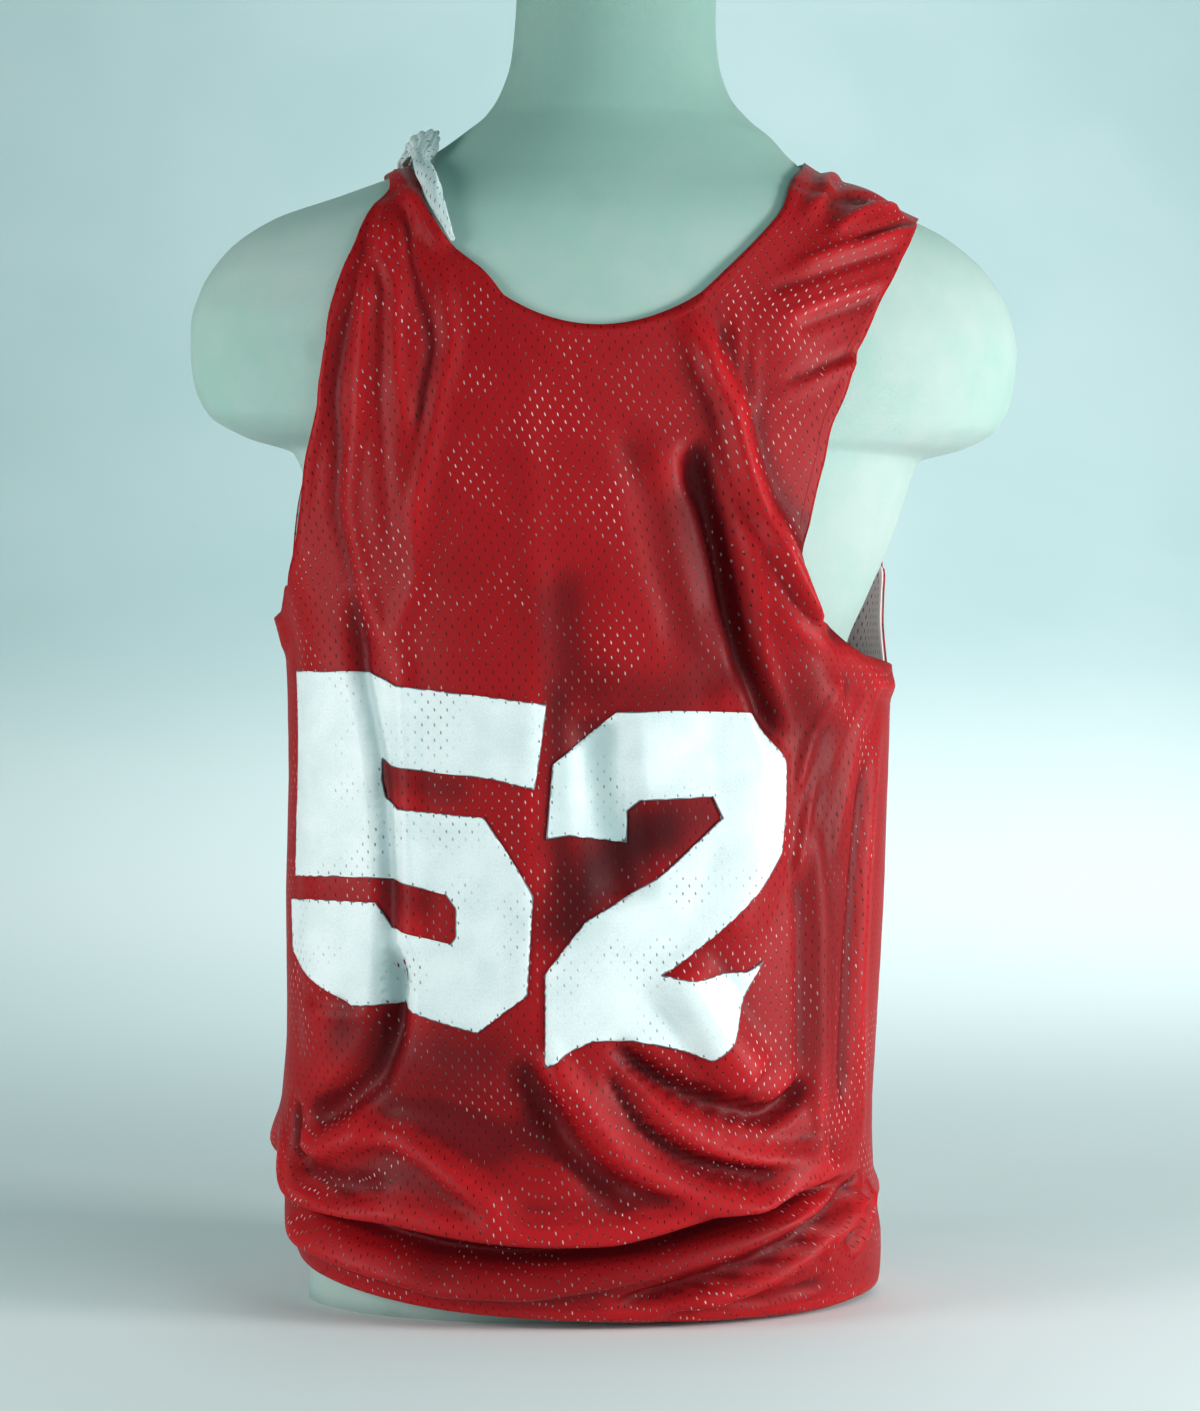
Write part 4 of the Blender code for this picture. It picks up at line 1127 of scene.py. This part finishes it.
@dataclass
class ClothPanel:
    """One panel of the outer cloth, with the white inner face that the reversible cloth has."""

    name: str
    cut: PanelCut
    drape: Drape
    node: str
    flat: Mark
    wall: float = 1.2 * MM
    wobble: float = 0.35 * MM
    NEAR: ClassVar[tuple[int, ...]] = (-5, -3, 0, 3, 5)
    DEEP: ClassVar[float] = 4.5 * MM
    HEM_ROWS: ClassVar[int] = 8
    NO_EDGE: ClassVar[float] = 1.0
    NEAREST: ClassVar[int] = 3
    cells: Array = field(init=False)
    marks: dict[str, int] = field(init=False)
    points: Array = field(init=False)
    uv: Array = field(init=False)
    measures: dict[str, Array] = field(init=False)

    def __post_init__(self) -> None:
        """Lays the grid and drapes it."""
        grid, self.cells, self.marks = self.cut.lay()
        angle, height, tuck = grid[..., 0], grid[..., 1] * MM, grid[..., 2]
        smooth_cloth, normal = self.drape.cloth.place(angle, height), self.drape.cloth.outward(angle, height)
        self.points = self.drape.place(angle, height, tuck)
        waves = ripple(self.points.reshape(-1, 3)).reshape(tuck.shape) * self.wobble * (1 - tuck)
        self.points += normal * waves[..., None]
        self.uv = self.cloth_coordinates(angle, height, smooth_cloth)
        push = ((self.points - smooth_cloth) * normal).sum(-1)
        # The hollow and shade measures drive the finishes' painted shade and painted highlight.
        self.measures = {"edge": self.edge_distance(), "hollow": self.hollows(push),
                         "shade": self.drape.shade(angle, height)}

    def hollows(self, push: Array) -> Array:
        """How far each corner lies below the cloth round it.

        Args:
            push: How far each corner stands out from the smooth cloth, in metres.

        Returns:
            From -1, on a crest, to 1, in a deep trough.
        """
        rows, columns = push.shape
        cells = np.pad(self.cells, 1)
        used = (cells[1:, 1:] | cells[1:, :-1] | cells[:-1, 1:] | cells[:-1, :-1]).astype(float)
        total, count = np.zeros(push.shape), np.zeros(push.shape)
        for down in self.NEAR:
            near_rows = np.clip(np.arange(rows) + down, 0, rows - 1)
            for side in self.NEAR:
                near = np.ix_(near_rows, np.clip(np.arange(columns) + side, 0, columns - 1))
                total += used[near] * push[near]
                count += used[near]
        return np.clip((total / np.maximum(count, 1) - push) / self.DEEP, -1, 1) * used

    def hollow_at(self, points: Array) -> list[float]:
        """How deep in a hollow of the cloth a list of points lie.

        Args:
            points: Points on the cloth.

        Returns:
            For each, the mean of the cloth's nearest corners.
        """
        corners, hollow = self.points.reshape(-1, 3), self.measures["hollow"].ravel()
        tree = kdtree.KDTree(len(corners))
        for number, corner in enumerate(corners):
            tree.insert(corner, number)
        tree.balance()
        found = (tree.find_n(point, self.NEAREST) for point in points)
        return [sum(hollow[number] for _, number, _ in near) / len(near) for near in found]

    def cloth_coordinates(self, angle: Array, height: Array, smooth_cloth: Array) -> Array:
        """Metres across and along the cloth at each corner, so that the mesh keeps its size over the folds.

        Args:
            angle: The corners' angles.
            height: Their heights in metres.
            smooth_cloth: Their places on the cloth without its folds.

        Returns:
            Across and along, in the last axis.
        """
        marks, rows = self.marks, len(angle)
        run = run_along(smooth_cloth)
        across = np.array([run[row] - np.interp(self.cut.centre, angle[row], run[row]) for row in range(rows)])
        neck = marks["neck"]
        for low, high in ((marks["arm_left"], marks["neck_left"]), (marks["neck_right"], marks["arm_right"])):
            middle = (low + high) // 2
            strap = run[neck + 1:]
            across[neck + 1:, low: high + 1] = (strap[:, low: high + 1] - strap[:, middle, None]
                                                + across[neck, middle])
        along = height.copy()
        climbs = np.linalg.norm(np.diff(self.points, axis=0), axis=2)
        smooth_climbs = np.linalg.norm(np.diff(smooth_cloth, axis=0), axis=2)
        for row in range(marks["flat_low"] - 1, -1, -1):
            along[row] = along[row + 1] - climbs[row]
        for row in range(marks["underarm"] + 1, rows):
            along[row] = along[row - 1] + smooth_climbs[row - 1]
        return np.stack([across, along], -1)

    def edge_distance(self) -> Array:
        """Distance from each corner to the armholes and the neckline."""
        marks, points = self.marks, self.points
        under, neck, left, right = marks["underarm"], marks["neck"], marks["arm_left"], marks["arm_right"]
        neck_left, neck_right = marks["neck_left"], marks["neck_right"]
        rim = np.concatenate([points[under, : left + 1], points[under, right:], points[under:, left],
                              points[under:, right], points[neck, neck_left: neck_right + 1],
                              points[neck:, neck_left], points[neck:, neck_right]])
        distance = np.full(points.shape[:2], self.NO_EDGE)
        for row in range(under - self.HEM_ROWS, len(points)):
            distance[row] = np.linalg.norm(points[row, :, None] - rim, axis=-1).min(-1)
        return distance

    def build(self, outer: Material, inner: Material) -> Piece:
        """The panel's shell, in place of its plain node, with a finish for each face."""
        piece = link(self.name, grid_of(self.points, self.uv, self.cells, self.measures), outer, inner)
        return declare(piece, self.node, self.wall, inner=1)


@dataclass
class Lining:
    """The white inner layer where it shows inside an armhole, made from the back panel's corners.

    `below` and `above` the underarm, and `inward` of the armhole, are how many of its cells the layer covers.
    """

    side: Side
    panel: ClothPanel
    node: str
    depth: float = 1.7 * MM
    wall: float = 0.9 * MM
    below: int = 46
    above: int = 12
    inward: int = 20

    def window(self) -> tuple[slice, slice]:
        """The rows and columns of the back panel that the layer covers."""
        marks, last = self.panel.marks, self.panel.cells.shape[1]
        rows = slice(marks["underarm"] - self.below, marks["underarm"] + self.above)
        if self.side is Side.RIGHT:
            return rows, slice(0, marks["arm_left"] + self.inward)
        return rows, slice(marks["arm_right"] - self.inward, last)

    def build(self, finish: Material) -> Piece:
        """The layer's shell."""
        cells = self.window()
        corners = tuple(slice(span.start, span.stop + 1) for span in cells)
        panel = self.panel
        points = panel.points[corners]
        normal = np.cross(np.gradient(points, axis=1), np.gradient(points, axis=0))
        normal /= np.linalg.norm(normal, axis=-1, keepdims=True)
        bm = grid_of(points - normal * self.depth, panel.uv[corners], panel.cells[cells],
                     {"edge": panel.measures["edge"][corners]})
        piece = link(f"lining_inside_{self.side.value}_armhole", bm, finish)
        return declare(piece, self.node, self.wall)


FIVE = (
    (-78, 374), (-66, 374), (-54, 374), (-50, 371), (-46, 366), (-40, 364), (-28, 360), (-18, 356), (-19, 330),
    (-20, 308), (-28, 314), (-42, 318), (-48, 320), (-51, 324), (-51, 312), (-50, 302), (-46, 296), (-38, 294),
    (-29, 292), (-25, 274), (-21, 254), (-20, 248), (-20.5, 220), (-21, 192), (-30, 170), (-38, 176), (-47, 184),
    (-57, 182), (-81, 210), (-82, 240), (-68, 242), (-51, 242), (-48, 228), (-35, 220), (-34, 224), (-34, 240),
    (-36, 248), (-48, 256), (-62, 256), (-79, 254), (-79, 300),
)
TWO = (
    (-6, 352), (6, 353), (19, 352), (24, 338), (28, 324), (28, 296), (27, 272), (22, 252), (12, 224), (2, 204),
    (11, 204), (20, 204), (24, 210), (20, 192), (16, 168), (12, 156), (4, 162), (-3, 166), (-10, 166), (-18, 154),
    (-18, 180), (-18, 204), (-11, 234), (-4, 248), (2, 260), (8, 276), (14, 292), (13, 298), (12, 304), (5, 303),
    (-2, 302), (-4, 296), (-4, 278), (-14, 282), (-18, 280), (-17.5, 300), (-17, 322),
)


@dataclass
class Numeral:
    """One flat block numeral: an outline of (angle, height in mm) cut from a grid and laid on the cloth."""

    name: str
    outline: Path
    panel: ClothPanel
    cell: float = 2.4
    mm_per_degree: float = 3.0
    cut_reach: Mark = (3, 4)
    lift: float = 1.0 * MM
    film: float = 0.2 * MM
    cut_snap: float = 1e-5
    side_points: int = 16
    levels: int = 24
    sweep: Mark = (-100.0, 101.0)

    def sides(self) -> list[tuple[Mark, Mark]]:
        """The outline's sides."""
        return list(zip(self.outline, self.outline[1:] + self.outline[:1]))

    def inside(self, x: float, y: float) -> bool:
        """Whether a point lies within the outline.

        Args:
            x: The point's angle.
            y: Its height in mm.

        Returns:
            True inside.
        """
        hit = False
        for (ax, ay), (bx, by) in self.sides():
            if (ay > y) != (by > y) and x < ax + (y - ay) / (by - ay) * (bx - ax):
                hit = not hit
        return hit

    def flat_piece(self) -> Mesh:
        """The numeral in the plane of angles and heights, cut from a grid along each side of its outline."""
        corners = np.array(self.outline, float)
        low, high = corners.min(0) - 1, corners.max(0) + 1
        middle, half = (low + high) / 2, (high - low) / 2
        bm = bmesh.new()
        bmesh.ops.create_grid(bm, x_segments=int(2 * half[0] * self.mm_per_degree / self.cell),
                              y_segments=int(2 * half[1] / self.cell), size=1)
        bmesh.ops.scale(bm, vec=(*half, 1), verts=bm.verts)
        bmesh.ops.translate(bm, vec=(*middle, 0), verts=bm.verts)
        for start, end in self.sides():
            lowest = [min(pair) - reach for pair, reach in zip(zip(start, end), self.cut_reach)]
            highest = [max(pair) + reach for pair, reach in zip(zip(start, end), self.cut_reach)]
            near = [face for face in bm.faces
                    if all(a < c < b for a, c, b in zip(lowest, face.calc_center_median(), highest))]
            geom = near + list({edge for face in near for edge in face.edges}) + \
                list({vert for face in near for vert in face.verts})
            bmesh.ops.bisect_plane(bm, geom=geom, dist=self.cut_snap, plane_co=(*start, 0),
                                   plane_no=(end[1] - start[1], start[0] - end[0], 0))
        outside = [face for face in bm.faces if not self.inside(*face.calc_center_median().xy)]
        bmesh.ops.delete(bm, geom=outside, context="FACES")
        return bm

    def build(self, finish: Material) -> Piece:
        """The numeral on the cloth, with the cloth's own coordinates."""
        bm, panel = self.flat_piece(), self.panel
        angle, height = np.array([vert.co[:2] for vert in bm.verts]).T
        height = height * MM
        points = panel.drape.place(angle, height, 0.0, self.lift)
        points += panel.drape.cloth.outward(angle, height) * (ripple(points) * panel.wobble)[:, None]
        # The hollow and shade measures drive the print's painted shade.
        measures = {"edge": self.rim_distance(angle, height), "hollow": panel.hollow_at(points),
                    "shade": panel.drape.shade(angle, height)}
        lay(bm, range(len(points)), points, self.coordinates(angle, height), measures)
        bmesh.ops.recalc_face_normals(bm, faces=bm.faces)
        if sum(face.normal.y for face in bm.faces) > 0:
            bmesh.ops.reverse_faces(bm, faces=bm.faces)
        return declare(link(self.name, bm, finish), wall=self.film)

    def rim_distance(self, angle: Array, height: Array) -> Array:
        """Distance from points of the numeral to its outline, over the smooth cloth.

        Args:
            angle: The points' angles.
            height: Their heights in metres.

        Returns:
            Metres.
        """
        t = np.linspace(0, 1, self.side_points, endpoint=False)[:, None]
        line = np.concatenate([np.array(a) * (1 - t) + np.array(b) * t for a, b in self.sides()])
        cloth = self.panel.drape.cloth
        line = cloth.place(line[:, 0], line[:, 1] * MM)
        return np.array([np.linalg.norm(line - point, axis=1).min() for point in cloth.place(angle, height)])

    def coordinates(self, angle: Array, height: Array) -> Array:
        """The cloth's own coordinates at points of its flat middle.

        Args:
            angle: The points' angles.
            height: Their heights in metres.

        Returns:
            Metres across and along the cloth, in the last axis.
        """
        sweep, levels = np.arange(*self.sweep), np.linspace(height.min(), height.max(), self.levels)
        runs = run_along(self.panel.drape.cloth.place(*np.meshgrid(sweep, levels)))
        table = [run - np.interp(self.panel.cut.centre, sweep, run) for run in runs]
        top = self.levels - 1
        at = np.clip((height - levels[0]) / (levels[-1] - levels[0]) * top, 0, top - 0.001)
        low = at.astype(int)
        first, second = (np.array([np.interp(a, sweep, table[k]) for a, k in zip(angle, level)])
                         for level in (low, low + 1))
        return np.stack([first + (second - first) * (at - low), height], -1)


@dataclass(frozen=True)
class RollRing:
    """A ring of the rolled strap, beside a point of the strap's neck edge. Radii and lift are in millimetres."""

    angle: float
    height: float
    across: float
    out: float
    lift: float


@dataclass
class StrapRoll:
    """The white layer rolled out beside the neck, crumpled into a knot over the shoulder.

    The knot's `lump` and `pleat` each give a height as a share of the radius, a count round the roll, and how the
    wave slants or sways and repeats along it.
    """

    drape: Drape
    rings: tuple[RollRing, ...] = tuple(RollRing(*row) for row in (
        (-28, 618, 1.4, 1.4, 2.0), (-31, 628, 3.0, 2.4, 2.6), (-35, 638, 4.6, 3.2, 3.4), (-41, 648, 5.4, 4.0, 4.2),
        (-50, 657, 5.4, 4.4, 4.8), (-62, 666, 4.6, 4.4, 5.2), (-76, 674, 9.6, 5.6, 7.0), (-92, 677, 10.4, 6.0, 7.6),
        (-106, 673, 8.0, 5.4, 6.4), (-120, 664, 5.2, 4.0, 4.6), (-134, 653, 2.2, 2.2, 2.6)))
    gap: float = 0.6 * MM
    steps: int = 10
    sides: int = 110
    girth: float = 0.034
    spiral: float = 0.5
    turns: float = 38
    knot_ring: float = 7.0
    knot_length: float = 1.7
    ridges: tuple[Point, ...] = ((0.07, 3, 0.0), (0.05, 5, 1.3))
    lump: tuple[float, ...] = (0.10, 2, 200, 110, 0.6)
    pleat: tuple[float, ...] = (0.24, 5.5, 1.6, 55, 0.6)

    def build(self, finish: Material) -> Piece:
        """The roll, closed at both ends."""
        table = np.array([astuple(ring) for ring in self.rings], float).T
        knots = np.arange(len(self.rings))
        at = np.linspace(0, knots[-1], self.steps * knots[-1] + 1)
        angle = smooth(knots, table[0], at)
        height, across, out, lift = (smooth(knots, column, at) * MM for column in table[1:])
        edge, up = self.drape.cloth.place(angle, height), self.drape.cloth.outward(angle, height)
        side = np.cross(np.gradient(edge, axis=0), up)
        side /= np.linalg.norm(side, axis=1, keepdims=True)
        centre = edge + side * (across + self.gap)[:, None] + up * lift[:, None]
        turn, run = np.linspace(0, 2 * np.pi, self.sides + 1), run_along(centre)[:, None]
        ridges = self.crumple(turn[None], run, at[:, None])
        wheel = (side * across[:, None])[:, None] * (np.cos(turn) * ridges)[..., None]
        wheel = wheel + (up * out[:, None])[:, None] * (np.sin(turn) * ridges)[..., None]
        around = (np.arange(self.sides + 1) / self.sides * self.girth)[None]
        uv = np.stack([around + run * self.spiral, run + 0 * around], -1)
        bm = grid_of(centre[:, None] + wheel, uv)
        close(bm)
        return declare(link("rolled_strap_lining", bm, finish), "strap_lining_roll")

    def crumple(self, turn: Array, run: Array, at: Array) -> Array:
        """How far the crumpled skin stands from a plain roll.

        Args:
            turn: Radians round the roll, in a row.
            run: Metres along it, in a column.
            at: Rings along it, in a column.

        Returns:
            Shares of its radius.
        """
        twist = turn + run * self.turns
        knot = np.exp(-((at - self.knot_ring) / self.knot_length) ** 2)
        ridges = sum((size * np.sin(count * twist + start) for size, count, start in self.ridges), 1)
        high, count, slant, often, start = self.lump
        lumps = high * (np.sin(count * turn + run * slant) * np.sin(run * often + start))
        high, count, sway, often, floor = self.pleat
        pleats = high * (np.abs(np.sin(count * turn + sway * np.sin(run * often))) - floor)
        return ridges + knot * (lumps + pleats)


# ------------------------------------------------------------------ the form
@dataclass
class FormCover:
    """The dress form's covered body, finer than its solid, with the cover's slight wrinkles."""

    body: Stack
    around: int = 176
    rows_between: int = 6
    wrinkle: float = 0.5 * MM
    shoulder_start: float = 0.17
    shoulder_rise: float = 14
    calm_end: float = 0.02
    creases: Point = (16, 16, 55)
    waves: Mark = (0.35, 30)

    def wrinkles(self, place: Array) -> float:
        """How far the cover stands out: level creases on the shoulders, and slight waves all over.

        Args:
            place: A point.

        Returns:
            A share of the deepest wrinkle.
        """
        shoulder = min(1.0, max(0.0, (abs(place[0]) - self.shoulder_start) * self.shoulder_rise))
        strength, often = self.waves
        return noise.noise(Vector(place * self.creases)) * shoulder + strength * noise.noise(Vector(place) * often)

    def build(self, finish: Material) -> Piece:
        """The body, closed at the base and the neck."""
        heights = self.body.columns[0] * MM
        last = len(heights) - 1
        height = np.interp(np.linspace(0, last, self.rows_between * last + 1), np.arange(last + 1), heights)
        angle, level = np.meshgrid(np.linspace(0, 360, self.around + 1), height)
        points = self.body.place(angle, level)
        waves = np.array([self.wrinkles(place) for place in points.reshape(-1, 3)]).reshape(angle.shape)
        calm = np.clip(np.minimum(level, heights[-1] - level) / self.calm_end, 0, 1)
        points = points + self.body.outward(angle, level) * (waves * self.wrinkle * calm)[..., None]
        points[:, -1] = points[:, 0]
        bm = grid_of(points)
        close(bm)
        return declare(link("dress_form_cover", bm, finish), "dress_form")


# ------------------------------------------------------------------ studio
WARM, COOL, BLUE = (1.0, 0.95, 0.94), (0.93, 1.0, 1.0), (0.85, 1.0, 1.0)


@dataclass(frozen=True)
class Lamp:
    """A square soft light and the point that it looks at, the jersey's middle unless another is named."""

    name: str
    place: Point
    size: float
    power: float
    colour: Colour
    aim: Point = (0.0, 0.0, 0.4)

    def build(self) -> None:
        """The light in the scene."""
        lamp = bpy.data.lights.new(self.name, "AREA")
        lamp.shape, lamp.size, lamp.energy, lamp.color = "SQUARE", self.size, self.power, self.colour
        holder = bpy.data.objects.new(self.name, lamp)
        holder.location = self.place
        holder.rotation_euler = (Vector(self.aim) - holder.location).to_track_quat("-Z", "Y").to_euler()
        bpy.context.scene.collection.objects.link(holder)


@dataclass
class Sweep:
    """Floor and backdrop in one bent sheet of paper."""

    half_width: float = 5.0
    front: float = -4.0
    length: float = 11.5
    bend_start: float = 1.9
    bend_radius: float = 2.6
    steps: int = 90

    def build(self, finish: Material) -> None:
        """The sheet."""
        bm = bmesh.new()
        bmesh.ops.create_grid(bm, x_segments=2, y_segments=self.steps, size=1)
        start, radius = self.bend_start, self.bend_radius
        for vert in bm.verts:
            run = (vert.co.y + 1) / 2 * self.length + self.front
            bend = max(run - start, 0) / radius
            turn, climb = min(bend, math.pi / 2), max(bend - math.pi / 2, 0)
            vert.co = (vert.co.x * self.half_width, min(run, start) + radius * math.sin(turn),
                       radius * (1 - math.cos(turn)) + climb * radius)
        link("paper_sweep", bm, finish)


@dataclass
class Studio:
    """A pale paper sweep, soft lights and the camera."""

    distance: float = 2.0
    azimuth: float = -11.0
    height: float = 0.385
    focal: float = 3300.0
    picture: tuple[int, int] = (1200, 1411)
    aim: float = 606.0
    pitch: float = -0.9
    roll: float = 0.4
    sensor: float = 36.0
    far_clip: float = 50
    air: Colour = srgb(95, 213, 205)
    air_strength: float = 0.21
    lamps: tuple[Lamp, ...] = (
        Lamp("left soft box", (-1.85, -0.65, 0.6), 0.8, 23, WARM),
        Lamp("right soft box", (1.65, -1.0, 0.5), 0.6, 35, WARM),
        Lamp("front fill", (0.3, -3.4, 0.6), 1.6, 3.6, BLUE),
        Lamp("floor light", (0.7, -1.2, 1.15), 1.0, 9, COOL, (0.9, -0.9, 0.0)),
        Lamp("far floor light", (1.0, 1.5, 1.9), 2.0, 10, COOL, (1.0, 1.9, 0.0)),
        Lamp("backdrop light", (1.3, 1.6, 2.5), 1.6, 78, (0.95, 0.98, 0.98), (1.4, 4.2, 1.2)),
        Lamp("rear fill", (0.3, 1.4, 1.2), 1.2, 1.5, COOL),
    )

    def camera(self) -> None:
        """The camera, at the eye's place and tilt."""
        turn = math.radians(self.azimuth)
        place = Vector((self.distance * math.sin(turn), -self.distance * math.cos(turn), self.height))
        data = bpy.data.cameras.new("camera")
        data.sensor_fit, data.sensor_height, data.clip_end = "VERTICAL", self.sensor, self.far_clip
        data.lens = self.focal / self.picture[1] * self.sensor
        yaw = turn + math.atan((self.aim - self.picture[0] / 2) / self.focal)
        look = Matrix.Rotation(yaw, 4, "Z") @ Matrix.Rotation(math.radians(90 + self.pitch), 4, "X")
        look = look @ Matrix.Rotation(math.radians(self.roll), 4, "Z")
        camera = bpy.data.objects.new("camera", data)
        camera.matrix_world = Matrix.Translation(place) @ look
        bpy.context.scene.collection.objects.link(camera)
        bpy.context.scene.camera = camera

    def build(self, finish: Material) -> None:
        """Everything that isn't the object."""
        Sweep().build(finish)
        self.camera()
        for lamp in self.lamps:
            lamp.build()
        world = bpy.data.worlds.new("studio air")
        world.use_nodes = True
        background = world.node_tree.nodes["Background"]
        background.inputs[0].default_value = (*self.air, 1)
        background.inputs[1].default_value = self.air_strength
        bpy.context.scene.world = world
        bpy.context.scene.view_settings.view_transform = "Standard"
        LOG.info("studio")


def main() -> None:
    """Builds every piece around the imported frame."""
    logging.basicConfig(level=logging.INFO, format="%(message)s")
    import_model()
    Studio().build(Paper().make())
    form = Stack(FORM_SECTIONS)
    drape = Drape(form, Stack(CLOTH_SECTIONS))
    red, white, ink = RedMesh().make(), WhiteMesh().make(), PrintInk().make()
    cover = FormCover(form).build(FormCloth().make())
    front = ClothPanel("front_of_jersey", FRONT_CUT, drape, "front_panel", (0.53, 0.74))
    back = ClothPanel("back_of_jersey", BACK_CUT, drape, "back_panel", (0.53, 0.76))
    front_piece, back_piece = front.build(red, white), back.build(red, white)
    # The lining's pale colours are tinted pink with painted red bounce light from the outer cloth, and its holes are
    # darkened with painted shade.
    lining_mesh = WhiteMesh("lining mesh cloth", 3.0, srgb(236, 208, 208), srgb(212, 184, 186), srgb(50, 44, 46),
                            HoleLattice(half_width=0.6, half_height=1.4)).make()
    linings = [Lining(side, back, f"back_lining_{side.value}").build(lining_mesh) for side in Side]
    numerals = [Numeral("numeral_five", FIVE, front).build(ink), Numeral("numeral_two", TWO, front).build(ink)]
    roll = StrapRoll(drape).build(white)


if __name__ == "__main__":
    main()
